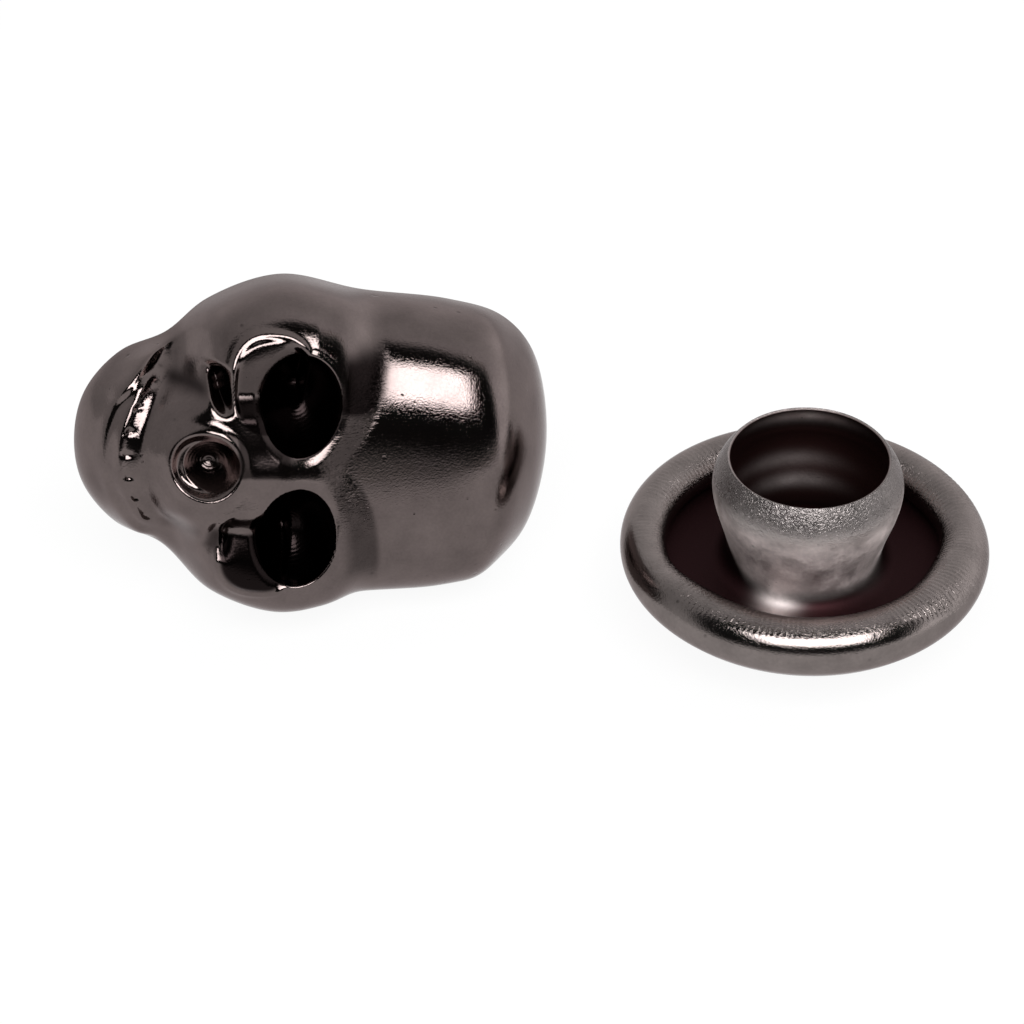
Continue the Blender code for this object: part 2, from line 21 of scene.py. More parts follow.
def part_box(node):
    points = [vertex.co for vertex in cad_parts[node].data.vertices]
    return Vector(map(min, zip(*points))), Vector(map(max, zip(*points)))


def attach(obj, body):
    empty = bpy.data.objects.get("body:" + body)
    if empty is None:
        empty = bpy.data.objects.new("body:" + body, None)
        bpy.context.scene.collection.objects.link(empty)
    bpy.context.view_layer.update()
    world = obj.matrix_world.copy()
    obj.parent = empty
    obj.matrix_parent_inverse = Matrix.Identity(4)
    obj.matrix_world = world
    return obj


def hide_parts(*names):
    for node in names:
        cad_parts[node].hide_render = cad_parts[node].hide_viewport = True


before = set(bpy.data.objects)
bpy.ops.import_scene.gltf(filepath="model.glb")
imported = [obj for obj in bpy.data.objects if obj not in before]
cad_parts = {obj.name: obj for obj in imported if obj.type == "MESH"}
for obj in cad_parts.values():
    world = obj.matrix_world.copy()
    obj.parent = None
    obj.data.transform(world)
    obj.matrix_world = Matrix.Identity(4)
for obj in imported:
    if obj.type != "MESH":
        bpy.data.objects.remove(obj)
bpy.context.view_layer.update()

LOG = logging.getLogger("skull_rivet")
MM = 0.001

# A span gives where a smooth change starts and where it is complete, and Sides is a value for
# the near side, v < 0, and one for the far side.
Point = tuple[float, float]
Span = tuple[float, float]
Sides = tuple[float, float]
Colour = tuple[float, float, float]

NUMBER = "NodeSocketFloat"


class Slot(Enum):
    """Names for material slots, which the finished pieces do not use."""

    CAST = "cast_black_nickel"
    DRAWN = "drawn_black_nickel"


def ease(x: np.ndarray) -> np.ndarray:
    """Smooth step from 0 to 1 whose slope and curvature have no kink."""
    x = np.clip(x, 0.0, 1.0)
    return x ** 3 * (10.0 - 15.0 * x + 6.0 * x * x)


def bell(distance: np.ndarray, width: float) -> np.ndarray:
    """Smooth bump of height 1 at distance 0."""
    return np.exp(-((distance / width) ** 2))


def between(x: np.ndarray, start: float, end: float) -> np.ndarray:
    """Smooth change from 0 at start to 1 at end, whichever of the two is the larger."""
    return ease((x - start) / (end - start))


def mix(first: float, second: float, share: float) -> float:
    """The first value at share 0, the second at share 1."""
    return first + (second - first) * share


def by_side(v: np.ndarray, near: float, far: float) -> np.ndarray:
    """The near value where v is 0 or less and the far one elsewhere."""
    return np.where(v > 0.0, far, near)


def smooth_loop(points: list[Point], steps: int) -> np.ndarray:
    """Points on a centripetal Catmull-Rom curve.

    Args:
        points: the corners of the closed loop, in order.
        steps: how many points each span gets.

    Returns:
        The curve's points, one row each.
    """
    corners = np.array(points, float)
    count = len(corners)
    curve = []
    for i in range(count):
        a, b, c, d = (corners[(i + k - 1) % count] for k in range(4))
        t1 = np.linalg.norm(b - a) ** 0.5
        t2 = t1 + np.linalg.norm(c - b) ** 0.5
        t3 = t2 + np.linalg.norm(d - c) ** 0.5
        for t in np.linspace(t1, t2, steps, endpoint=False):
            ab = (t1 - t) / t1 * a + t / t1 * b
            bc = (t2 - t) / (t2 - t1) * b + (t - t1) / (t2 - t1) * c
            cd = (t3 - t) / (t3 - t2) * c + (t - t2) / (t3 - t2) * d
            abc = (t2 - t) / t2 * ab + t / t2 * bc
            bcd = (t3 - t) / (t3 - t1) * bc + (t - t1) / (t3 - t1) * cd
            curve.append((t2 - t) / (t2 - t1) * abc + (t - t1) / (t2 - t1) * bcd)
    return np.array(curve)


def even_loop(curve: np.ndarray, count: int, softening: float) -> np.ndarray:
    """Resample a closed curve evenly and soften its changes of curvature.

    Args:
        curve: the loop's points.
        count: how many points the new loop has.
        softening: how far the softening reaches along the loop, in the curve's own unit.

    Returns:
        The new loop, starting at the same point.
    """
    closed = np.vstack([curve, curve[:1]])
    lengths = np.linalg.norm(np.diff(closed, axis=0), axis=1)
    along = np.concatenate([[0.0], np.cumsum(lengths)])
    wanted = np.arange(count) / count * along[-1]
    loop = np.stack([np.interp(wanted, along, closed[:, k]) for k in (0, 1)], axis=1)
    turns = np.fft.rfftfreq(count, along[-1] / count) * 2.0 * math.pi
    damping = np.exp(-0.5 * (turns * softening) ** 2)
    return np.fft.irfft(np.fft.rfft(loop, axis=0) * damping[:, None], n=count, axis=0)


@dataclass(frozen=True)
class Crater:
    """The raised lip of an opening and the shallow ledge inside it."""

    ledge_depth: float
    ledge_run: float
    lip_height: float
    lip_width: float

    def lip(self, distance: np.ndarray) -> np.ndarray:
        """Height of the lip at a distance from the opening's edge."""
        return self.lip_height * bell(distance, self.lip_width)

    def ledge(self, share: np.ndarray) -> np.ndarray:
        """Height of the ledge, with share 1 on the opening's edge and 0 in its middle."""
        return -self.ledge_depth * ease((1.0 - share) / self.ledge_run)


@dataclass(frozen=True)
class Pit:
    """A deep round-bottomed pit whose wall keeps the rings of the cutter that made it."""

    radius_u: float
    radius_v: float
    depth: float
    steepness: float = 0.80
    ring_pitch: float = 0.085
    ring_depth: float = 0.006
    bevel_depth: float = 0.0
    bevel_width: float = 0.2
    bevel_power: float = 1.5
    ring_onset: float = 6.0

    def share(self, along: np.ndarray, across: np.ndarray) -> np.ndarray:
        """Distance from the pit's middle, 1 on its edge."""
        return np.hypot(along / self.radius_u, across / self.radius_v)

    def relief(self, along: np.ndarray, across: np.ndarray) -> np.ndarray:
        """Height of the pit at offsets from its middle."""
        share = self.share(along, across)
        inside = np.maximum(1.0 - share ** 2, 0.0)
        rings = np.cos(2.0 * math.pi * share * self.radius_v / self.ring_pitch)
        bowl = -self.depth * inside ** self.steepness
        outside = np.maximum(share - 1.0, 0.0) * self.radius_v / self.bevel_width
        bevel = -self.bevel_depth * np.maximum(1.0 - outside, 0.0) ** self.bevel_power
        return bowl + bevel + self.ring_depth * rings * ease(inside * self.ring_onset)


@dataclass(frozen=True)
class SkullForm:
    """Shape of the cast skull: its outline, its sections and the features of its face.

    Corners, radii and shifts are along u and across v. A ridge, a gap or a groove is its height or
    depth and its width.
    """

    corners: tuple[Point, ...] = (
        (-5.85, 0.0),
        (-5.62, 1.15),
        (-4.80, 2.13),
        (-3.70, 2.63),
        (-2.75, 3.45),
        (-1.00, 4.09),
        (1.00, 3.75),
        (3.20, 3.54),
        (4.55, 3.15),
        (5.40, 2.24),
        (5.86, 0.0),
    )
    steps_between_corners: int = 60
    softening: float = 0.10
    spine_share: float = 0.55

    face_height: float = 3.20
    brow_fall: float = 0.26
    brow_fall_length: float = 1.70
    cranium_slope: float = 0.10
    crown_starts: float = 2.60
    crown_bend: float = 0.055
    jaw_drop: float = 0.72
    jaw_drops: Span = (-2.20, -4.95)

    chin_fullness: float = 2.0
    face_fullness: float = 3.5
    cranium_fullness: float = 2.5
    crown_fullness: float = 2.3
    chin_to_face: Span = (-4.20, -2.45)
    face_to_cranium: Span = (-1.30, 0.0)
    cranium_to_crown: Span = (3.65, 5.25)
    chin_draft: float = 0.10
    crown_draft: float = 0.19
    flank_cut: float = 0.45
    flank_u: float = -3.50
    flank_length: float = 0.55
    flank_share: Span = (0.45, 0.90)
    halvings: int = 40

    crease_start: float = 0.15
    crease_reach: float = 1.20
    crease_spread: float = 0.95
    crease_round: float = 0.20

    ledge_u: float = -1.45
    ledge_v: float = 1.90
    ledge_radii: Point = (0.97, 1.22)
    ledge_squareness: float = 2.5
    ledge_slope: float = 0.16
    ledge_rise: float = 0.42
    ledge_side: Span = (1.00, 1.90)
    orbit: Crater = Crater(0.42, 0.18, 0.06, 0.08)
    lip_outside: float = 0.04
    near_ledge_shift: Point = (-0.20, 0.12)
    pit_shift: Point = (0.71, -0.28)
    pits_lower: float = 0.15
    pit: Pit = Pit(0.95, 1.23, 1.38, bevel_depth=0.11, bevel_width=0.26)
    bridge_height: float = 0.12
    bridge_width: float = 0.45
    bridge_low: Span = (-2.30, -1.60)
    bridge_high: Span = (0.55, -0.35)

    nose_u: float = -3.00
    nose_radius: float = 0.86
    nose: Crater = Crater(0.20, 0.40, 0.13, 0.15)
    cone_shift: float = 0.16
    cone: Pit = Pit(0.66, 0.62, 0.62, steepness=1.3, ring_depth=0.004)

    cheek_hollow_u: float = -2.34
    cheek_hollow_bend: float = -0.18
    cheek_hollow_depth: float = 0.80
    cheek_hollow_depth_shares: Sides = (0.45, 1.0)
    cheek_hollow_width: float = 0.17
    cheek_hollow_near_widening: float = 1.8
    cheek_hollow_far_widening: Point = (0.7, 0.25)
    cheek_hollow_inner: Span = (1.10, 1.80)
    cheek_hollow_outer: Span = (2.55, 1.95)

    teeth_curve: float = 0.22
    teeth_side: Span = (2.10, 1.45)
    tooth_ridge_u: float = -4.96
    tooth_ridge: Point = (0.17, 0.16)
    tooth_gap_u: float = -4.76
    tooth_gap: Point = (0.05, 0.12)
    tooth_gap_sharpness: int = 6
    tooth_pitch: float = 0.55
    lip_groove_u: float = -4.44
    lip_groove: Point = (0.16, 0.24)
    jaw_ridge_u: float = -5.33
    jaw_ridge: Point = (0.10, 0.12)
    jaw_corner: Span = (0.90, 1.70)
    jaw_corner_rises: Sides = (1.3, 3.3)
    jaw_corner_widening: float = 1.2
    jaw_ends: Sides = (2.10, 2.80)
    jaw_end_length: float = 0.45

    features_edge: Span = (1.0, 0.88)
    jaw_edge: Span = (1.0, 0.94)

    def outline(self, count: int) -> np.ndarray:
        """Evenly spaced points around the back, from the chin's tip over the +v side."""
        mirrored = [(u, -v) for u, v in reversed(self.corners[1:-1])]
        curve = smooth_loop(list(self.corners) + mirrored, self.steps_between_corners)
        return even_loop(curve, count, self.softening)

    def crease(self, v: np.ndarray) -> np.ndarray:
        """Where the brow crease runs along u, at each place across the face."""
        opening = 1.0 - np.exp(-np.hypot(v, self.crease_round) / self.crease_spread)
        return self.crease_start + self.crease_reach * opening

    def section(self, share: np.ndarray, fullness: np.ndarray, draft: np.ndarray) -> np.ndarray:
        """Height share of a section that is full at its top and leans in along its wall.

        Args:
            share: place across the section, 0 in its middle and 1 on the outline.
            fullness: 2 is an ellipse and more is squarer.
            draft: how far the wall leans in over its height.

        Returns:
            Height from 0 on the outline to 1 in the middle.
        """
        low, high = np.zeros_like(share), np.ones_like(share)
        for _ in range(self.halvings):
            middle = 0.5 * (low + high)
            reach = np.maximum(1.0 - middle ** fullness, 0.0) ** (1.0 / fullness)
            inside = reach * (1.0 - draft * middle) > share
            low = np.where(inside, middle, low)
            high = np.where(inside, high, middle)
        return low

    def rise(self, u: np.ndarray, v: np.ndarray) -> np.ndarray:
        """How the brow, the cranium and the bridge of the nose lie over the level face."""
        crease = self.crease(v)
        level = self.crease_start + self.crease_reach
        deepest = self.cranium_slope * (crease - level) - self.brow_fall
        fall = np.clip((u - crease) / self.brow_fall_length + 1.0, 0.0, 1.0)
        plateau = self.cranium_slope * (u - level) - self.brow_fall
        plateau = plateau - self.crown_bend * np.maximum(u - self.crown_starts, 0.0) ** 2
        bridge = between(u, *self.bridge_low) * between(u, *self.bridge_high)
        bridge = bridge * bell(v + self.pits_lower, self.bridge_width)
        return np.where(u > crease, plateau, deepest * fall) + self.bridge_height * bridge

    def base(self, u: np.ndarray, v: np.ndarray, share: np.ndarray) -> np.ndarray:
        """The skull without its features."""
        face = between(u, *self.chin_to_face)
        cranium = between(u - self.crease(v), *self.face_to_cranium)
        crown = between(u, *self.cranium_to_crown)
        fullness = self.chin_fullness + (self.face_fullness - self.chin_fullness) * face
        fullness = fullness + (self.cranium_fullness - self.face_fullness) * cranium
        fullness = fullness + (self.crown_fullness - self.cranium_fullness) * crown
        draft = self.chin_draft * (1.0 - face) + self.crown_draft * crown
        drop = self.jaw_drop * between(u, *self.jaw_drops)
        flank = bell(u - self.flank_u, self.flank_length) * between(share, *self.flank_share)
        top = (self.face_height + self.rise(u, v) - drop) * (1.0 - self.flank_cut * flank)
        return top * self.section(share, fullness, draft)

    def from_pit(self, u: np.ndarray, v: np.ndarray) -> tuple[np.ndarray, np.ndarray]:
        """Offsets from the middle of the pit on the same side, outwards in v."""
        along = u - self.ledge_u - self.pit_shift[0]
        middle = self.ledge_v + self.pit_shift[1] - self.pits_lower * np.sign(v)
        return along, np.abs(v) - middle

    def ledge_share(self, u: np.ndarray, v: np.ndarray) -> np.ndarray:
        """Place on the ledge on the same side, 0 in its middle and 1 at its edge."""
        near = np.where(v < 0.0, 1.0, 0.0)
        along = u - self.ledge_u - self.near_ledge_shift[0] * near
        across = np.abs(v) - self.ledge_v - self.near_ledge_shift[1] * near
        power = self.ledge_squareness
        share = np.abs(along / self.ledge_radii[0]) ** power
        return (share + np.abs(across / self.ledge_radii[1]) ** power) ** (1.0 / power)

    def orbits(self, u: np.ndarray, v: np.ndarray) -> np.ndarray:
        """Both eye sockets."""
        share = self.ledge_share(u, v)
        tilt = self.ledge_slope * (u - self.ledge_u) - self.ledge_rise * (np.abs(v) - self.ledge_v)
        ledge = self.orbit.ledge(share) - tilt * ease((1.0 - share) / self.orbit.ledge_run)
        along, across = self.from_pit(u, v)
        nearest = np.minimum(share, self.pit.share(along, across)) - 1.0
        lip = self.orbit.lip(nearest * self.ledge_radii[1] - self.lip_outside)
        outer = between(np.abs(v), *self.ledge_side)
        return (lip + ledge) * outer + self.pit.relief(along, across)

    def nostril(self, u: np.ndarray, v: np.ndarray) -> np.ndarray:
        """The nose crater and its cone."""
        along = u - self.nose_u
        share = np.hypot(along, v) / self.nose_radius
        rim = self.nose.lip((share - 1.0) * self.nose_radius) + self.nose.ledge(share)
        return rim + self.cone.relief(along - self.cone_shift, v)

    def cheek_hollow(self, u: np.ndarray, v: np.ndarray) -> np.ndarray:
        """The hollow in front of each cheekbone."""
        out = np.abs(v)
        side = between(out, *self.cheek_hollow_inner) * between(out, *self.cheek_hollow_outer)
        side = side * by_side(v, *self.cheek_hollow_depth_shares)
        start, growth = self.cheek_hollow_far_widening
        widening = by_side(v, self.cheek_hollow_near_widening, start + growth * out)
        distance = u - self.cheek_hollow_u - self.cheek_hollow_bend * out
        return -self.cheek_hollow_depth * bell(distance, self.cheek_hollow_width * widening) * side

    def straightened(self, u: np.ndarray, v: np.ndarray) -> np.ndarray:
        """Place along u once the crescent of the teeth and the jaw is made straight."""
        return u - self.teeth_curve * v * v

    def jaw_line(self, u: np.ndarray, v: np.ndarray) -> np.ndarray:
        """The jaw's ridge under the teeth, which is highest at its corners."""
        height, width = self.jaw_ridge
        corner = between(np.abs(v), *self.jaw_corner)
        width = width * (1.0 + self.jaw_corner_widening * corner)
        ridge = bell(self.straightened(u, v) - self.jaw_ridge_u, width)
        end = by_side(v, *self.jaw_ends)
        side = between(np.abs(v), end + self.jaw_end_length, end)
        rise = 1.0 + by_side(v, *self.jaw_corner_rises) * corner
        return height * rise * ridge * side

    def teeth(self, u: np.ndarray, v: np.ndarray) -> np.ndarray:
        """The crescent band of teeth: a ridge, the gaps between the teeth and the lip groove."""
        bent = self.straightened(u, v)
        relief = self.tooth_ridge[0] * bell(bent - self.tooth_ridge_u, self.tooth_ridge[1])
        wave = np.cos(2.0 * math.pi * v / self.tooth_pitch)
        nick = (0.5 + 0.5 * wave) ** self.tooth_gap_sharpness
        gaps = self.tooth_gap[0] * nick * bell(bent - self.tooth_gap_u, self.tooth_gap[1])
        groove = self.lip_groove[0] * bell(bent - self.lip_groove_u, self.lip_groove[1])
        return (relief - gaps - groove) * between(np.abs(v), *self.teeth_side)

    def height(self, u: np.ndarray, v: np.ndarray, share: np.ndarray) -> np.ndarray:
        """Height of the finished face above the back."""
        cut = self.cheek_hollow(u, v) + self.teeth(u, v) + self.orbits(u, v)
        cut = cut * between(share, *self.features_edge)
        jaw = self.jaw_line(u, v) * between(share, *self.jaw_edge)
        height = self.base(u, v, share) + cut + jaw + self.nostril(u, v)
        return np.maximum(height, 0.0)


@dataclass(frozen=True)
class PaintedFaceShade:
    """Painted shade on the skull's face, as masks from 0 to 1."""

    form: SkullForm
    pit_edge: Span = (1.0, 0.88)
    nose_edge: Span = (1.0, 0.65)
    nose_shade: float = 0.45
    ledge_inner: Span = (1.70, 1.55)
    ledge_shade: Point = (0.45, 1.0)
    ledge_fade: Point = (0.30, 0.12)
    ledge_near: Span = (-1.66, -1.81)
    cleft_depth: Span = (0.15, 0.55)
    cleft_shade: float = 0.9
    fold_v: float = 1.78
    fold_width: float = 0.20
    fold_low: Span = (-4.0, -3.6)
    fold_high: Span = (-2.85, -3.15)
    fold_shade: Sides = (0.40, 0.85)
    brow_before_crease: float = 0.50
    brow_width: float = 0.50
    brow_strength: float = 1.8
    brow_inner: Span = (1.10, 1.50)
    brow_outer: Span = (3.05, 2.35)
    bridge_near: Span = (-0.28, -0.16)
    bridge_far: Span = (0.95, 0.75)
    bridge_low: Span = (-2.35, -2.20)
    bridge_high: Span = (-0.80, -1.10)
    bridge_shade: float = 0.85
    brushed_before: Span = (-0.95, -0.40)
    brushed_behind: Span = (0.22, -0.03)
    brushed_side: Span = (3.3, 2.4)

    def painted_shade(self, u: np.ndarray, v: np.ndarray) -> np.ndarray:
        """How much painted shade a place gets: 1 in the eye pits, less in shallow places, 0 elsewhere.
        """
        shaded = (self.pits, self.nose, self.ledges, self.clefts, self.folds, self.brow, self.bridge)
        return np.maximum.reduce([part(u, v) for part in shaded])

    def pits(self, u: np.ndarray, v: np.ndarray) -> np.ndarray:
        """Painted shade in the eye pits."""
        return between(self.form.pit.share(*self.form.from_pit(u, v)), *self.pit_edge)

    def nose(self, u: np.ndarray, v: np.ndarray) -> np.ndarray:
        """Painted shade on the cone in the nose crater."""
        share = np.hypot(u - self.form.nose_u - self.form.cone_shift, v) / self.form.cone.radius_u
        return self.nose_shade * between(share, *self.nose_edge)

    def ledges(self, u: np.ndarray, v: np.ndarray) -> np.ndarray:
        """Painted shade on the ledges of the eye sockets, darker and more sharply bounded next to the
        nose.
        """
        inner = between(v, *self.ledge_inner)
        shaded = mix(*self.ledge_shade, inner)
        shaded = shaded * ease((1.0 - self.form.ledge_share(u, v)) / mix(*self.ledge_fade, inner))
        return shaded * by_side(v, between(v, *self.ledge_near), 1.0)

    def clefts(self, u: np.ndarray, v: np.ndarray) -> np.ndarray:
        """Painted shade in the hollows in front of the cheekbones."""
        depth = -self.form.cheek_hollow(u, v) / self.form.cheek_hollow_depth
        return self.cleft_shade * between(depth, *self.cleft_depth)

    def folds(self, u: np.ndarray, v: np.ndarray) -> np.ndarray:
        """Painted shade along the folds that run from the cheekbones down to the jaw."""
        fold = bell(np.abs(v) - self.fold_v, self.fold_width)
        fold = fold * between(u, *self.fold_low) * between(u, *self.fold_high)
        return by_side(v, *self.fold_shade) * fold

    def brow(self, u: np.ndarray, v: np.ndarray) -> np.ndarray:
        """Painted shade on the far side of the brow, next to its crease."""
        shade = bell(u - self.form.crease(v) + self.brow_before_crease, self.brow_width)
        shade = shade * between(v, *self.brow_inner)
        return np.minimum(self.brow_strength * shade, 1.0) * between(v, *self.brow_outer)

    def bridge(self, u: np.ndarray, v: np.ndarray) -> np.ndarray:
        """Painted shade on the flank of the nose's bridge."""
        across = between(v, *self.bridge_near) * between(v, *self.bridge_far)
        along = between(u, *self.bridge_low) * between(u, *self.bridge_high)
        return self.bridge_shade * across * along

    def brushing_and_shade(self, u: np.ndarray, v: np.ndarray) -> np.ndarray:
        """How strongly the brow crease was brushed, which also sets its painted shade."""
        behind = u - self.form.crease(v)
        band = between(behind, *self.brushed_before) * between(behind, *self.brushed_behind)
        return band * between(np.abs(v), *self.brushed_side)


def grid_mesh(
    name: str,
    rings: np.ndarray,
    closed: bool = False,
    start_pole: Vector | None = None,
    end_pole: Vector | None = None,
    sharp_angle: float = 40.0,
) -> bpy.types.Mesh:
    """A closed, smooth-shaded mesh through rings of points.

    Args:
        name: the mesh's name.
        rings: points in metres as (ring, step, xyz).
        closed: whether the last ring joins the first.
        start_pole: the point that closes the first ring.
        end_pole: the point that closes the last ring.
        sharp_angle: edges that turn more than this stay sharp.

    Returns:
        The mesh, with its doubles merged and its faces pointing outwards.
    """
    count, steps = rings.shape[:2]
    points = [tuple(p) for p in rings.reshape(-1, 3)]
    index = np.arange(count * steps).reshape(count, steps)
    following = np.roll(index, -1, axis=1)
    last = count if closed else count - 1
    after = np.roll(index, -1, axis=0)
    after_following = np.roll(following, -1, axis=0)
    quads = np.stack([index, following, after_following, after], axis=-1)[:last]
    faces = [tuple(q) for q in quads.reshape(-1, 4).tolist()]
    for row, pole in ((0, start_pole), (count - 1, end_pole)):
        if pole is not None:
            points.append(tuple(pole))
            tip = len(points) - 1
            pairs = zip(index[row].tolist(), following[row].tolist())
            faces += [(a, b, tip) for a, b in pairs]
    mesh = bpy.data.meshes.new(name)
    mesh.from_pydata(points, [], faces)
    bm = bmesh.new()
    bm.from_mesh(mesh)
    bmesh.ops.remove_doubles(bm, verts=bm.verts, dist=1e-8)
    bmesh.ops.recalc_face_normals(bm, faces=bm.faces)
    if bm.calc_volume(signed=True) < 0.0:
        bmesh.ops.reverse_faces(bm, faces=bm.faces)
    bm.to_mesh(mesh)
    bm.free()
    mesh.shade_smooth()
    mesh.set_sharp_from_angle(angle=math.radians(sharp_angle))
    return mesh


def ring(radius: float, height: float, steps: int) -> np.ndarray:
    """A level ring of points about the vertical axis."""
    turns = math.pi - 2.0 * math.pi * np.arange(steps) / steps
    flat = np.full(steps, height)
    return np.stack([radius * np.cos(turns), radius * np.sin(turns), flat], axis=1)


def arc(centre: Point, radius: float, start: float, end: float, steps: int) -> list[Point]:
    """Profile points on an arc, with its angles in degrees from the +radius direction."""
    turns = np.radians(np.linspace(start, end, steps + 1))
    return [(centre[0] + radius * math.cos(t), centre[1] + radius * math.sin(t)) for t in turns]


def offset_left(profile: list[Point], thickness: float | np.ndarray) -> list[Point]:
    """The same profile moved to its left by the sheet's thickness."""
    points = np.array(profile, float)
    tangent = np.gradient(points, axis=0)
    tangent /= np.linalg.norm(tangent, axis=1)[:, None]
    normal = np.stack([-tangent[:, 1], tangent[:, 0]], axis=1)
    return [tuple(p) for p in points + normal * thickness]


def place(rings: np.ndarray, matrix: Matrix) -> np.ndarray:
    """Rings in millimetres moved to where the half lies, in metres."""
    turn = np.array(matrix.to_3x3())
    return rings @ turn.T * MM + np.array(matrix.translation)


def add_piece(mesh: bpy.types.Mesh, node: str) -> bpy.types.Object:
    """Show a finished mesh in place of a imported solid.

    Args:
        mesh: the piece's mesh, already in place.
        node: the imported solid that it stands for.

    Returns:
        The piece.
    """
    piece = bpy.data.objects.new(mesh.name, mesh)
    bpy.context.scene.collection.objects.link(piece)
    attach(piece, "root")
    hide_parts(node)
    return piece


class Wiring:
    """Adds and joins the nodes of one tree."""

    def __init__(self, tree: bpy.types.NodeTree) -> None:
        """Work on a tree."""
        self.tree = tree

    def add(self, kind: str, **settings: object) -> bpy.types.Node:
        """Add a node and set its properties."""
        node = self.tree.nodes.new(kind)
        for name, value in settings.items():
            setattr(node, name, value)
        return node

    def feed(self, socket: bpy.types.NodeSocket, value: object) -> None:
        """Join a socket to another one, or give it a fixed value."""
        if isinstance(value, bpy.types.NodeSocket):
            self.tree.links.new(value, socket)
        else:
            socket.default_value = value

    def maths(self, operation: str, *values: object) -> bpy.types.NodeSocket:
        """A Math node.

        Args:
            operation: the node's operation.
            values: its inputs, as sockets or numbers.

        Returns:
            The node's result.
        """
        node = self.add("ShaderNodeMath", operation=operation)
        for socket, value in zip(node.inputs, values):
            self.feed(socket, value)
        return node.outputs[0]

    def plus(self, first: object, second: object) -> bpy.types.NodeSocket:
        """Two values added."""
        return self.maths("ADD", first, second)

    def minus(self, first: object, second: object) -> bpy.types.NodeSocket:
        """The first value less the second."""
        return self.maths("SUBTRACT", first, second)

    def times(self, first: object, second: object) -> bpy.types.NodeSocket:
        """Two values multiplied."""
        return self.maths("MULTIPLY", first, second)

    def vectors(self, operation: str, first: object, second: object) -> bpy.types.NodeSocket:
        """A Vector Math node.

        Args:
            operation: the node's operation.
            first: its first vector, as a socket or a triple.
            second: its second vector, or the number that SCALE multiplies by.

        Returns:
            The node's result, a number for DOT_PRODUCT and a vector otherwise.
        """
        node = self.add("ShaderNodeVectorMath", operation=operation)
        self.feed(node.inputs[0], first)
        self.feed(node.inputs["Scale"] if operation == "SCALE" else node.inputs[1], second)
        return node.outputs["Value" if operation == "DOT_PRODUCT" else "Vector"]

    def ramp(self, value: object, low: object, high: object) -> bpy.types.NodeSocket:
        """A smooth rise from 0 at low to 1 at high, or a fall where low is the larger."""
        node = self.add("ShaderNodeMapRange", interpolation_type="SMOOTHSTEP")
        self.feed(node.inputs["Value"], value)
        self.feed(node.inputs["From Min"], low)
        self.feed(node.inputs["From Max"], high)
        return node.outputs["Result"]

    def noise(
        self,
        vector: object,
        scale: object,
        detail: float = 2.0,
        bend: object = 0.0,
        seed: object | None = None,
    ) -> bpy.types.NodeSocket:
        """Noise between 0 and 1.

        Args:
            vector: where it is read.
            scale: its scale per unit of the vector.
            detail: how many finer layers it has.
            bend: how far its patches are distorted.
            seed: the fourth coordinate, for noise that depends on a seed.

        Returns:
            The noise.
        """
        node = self.add("ShaderNodeTexNoise")
        if seed is not None:
            node.noise_dimensions = "4D"
            self.feed(node.inputs["W"], seed)
        self.feed(node.inputs["Vector"], vector)
        self.feed(node.inputs["Scale"], scale)
        self.feed(node.inputs["Detail"], detail)
        self.feed(node.inputs["Distortion"], bend)
        return node.outputs["Fac"]

    def laid_over(self, kind: str, cover: object, under: object, over: object) -> bpy.types.NodeSocket:
        """One value or colour laid over another.

        Args:
            kind: FLOAT or RGBA.
            cover: how much of the upper one shows, from 0 to 1.
            under: the lower one.
            over: the upper one.

        Returns:
            The mixed value or colour.
        """
        first_input, output = {"FLOAT": (2, 0), "RGBA": (6, 2)}[kind]
        node = self.add("ShaderNodeMix", data_type=kind)
        self.feed(node.inputs[0], cover)
        self.feed(node.inputs[first_input], under)
        self.feed(node.inputs[first_input + 1], over)
        return node.outputs[output]

    def mix_shaders(self, cover: object, under: object, over: object, output: str) -> None:
        """Feed a mix of two shaders to the tree's output.

        Args:
            cover: how much of the upper shader shows, from 0 to 1.
            under: the lower shader.
            over: the upper shader.
            output: the output node's name.
        """
        node = self.add("ShaderNodeMixShader")
        for socket, value in zip(node.inputs, (cover, under, over)):
            self.feed(socket, value)
        self.feed(self.tree.nodes[output].inputs["Surface"], node.outputs[0])

    def group(self, tree: bpy.types.NodeTree, **values: float) -> bpy.types.NodeOutputs:
        """Place a shared group, with each input named in lower case, and return its outputs."""
        node = self.add("ShaderNodeGroup", node_tree=tree)
        for name, value in values.items():
            node.inputs[name.replace("_", " ").title()].default_value = value
        return node.outputs

    def attribute(self, name: str) -> bpy.types.NodeSocket:
        """A value that the mesh stores."""
        return self.add("ShaderNodeAttribute", attribute_name=name).outputs["Fac"]

    def millimetres(self) -> bpy.types.NodeSocket:
        """Object coordinates in millimetres."""
        return self.vectors("SCALE", self.add("ShaderNodeTexCoord").outputs["Object"], 1.0 / MM)


def new_group(
    name: str, kind: str, inputs: dict[str, tuple[str, object]], outputs: dict[str, str]
) -> tuple[Wiring, bpy.types.NodeOutputs, bpy.types.NodeInputs]:
    """A node group with named sockets.

    Args:
        name: the group's name.
        kind: the node tree's type.
        inputs: name to socket type and default value.
        outputs: name to socket type.

    Returns:
        The group's wiring, its input node's sockets and its output node's sockets.
    """
    tree = bpy.data.node_groups.new(name, kind)
    for label, (socket_type, default) in inputs.items():
        socket = tree.interface.new_socket(label, in_out="INPUT", socket_type=socket_type)
        if default is not None:
            socket.default_value = default
    for label, socket_type in outputs.items():
        tree.interface.new_socket(label, in_out="OUTPUT", socket_type=socket_type)
    wiring = Wiring(tree)
    entry = wiring.add("NodeGroupInput")
    leave = wiring.add("NodeGroupOutput")
    return wiring, entry.outputs, leave.inputs


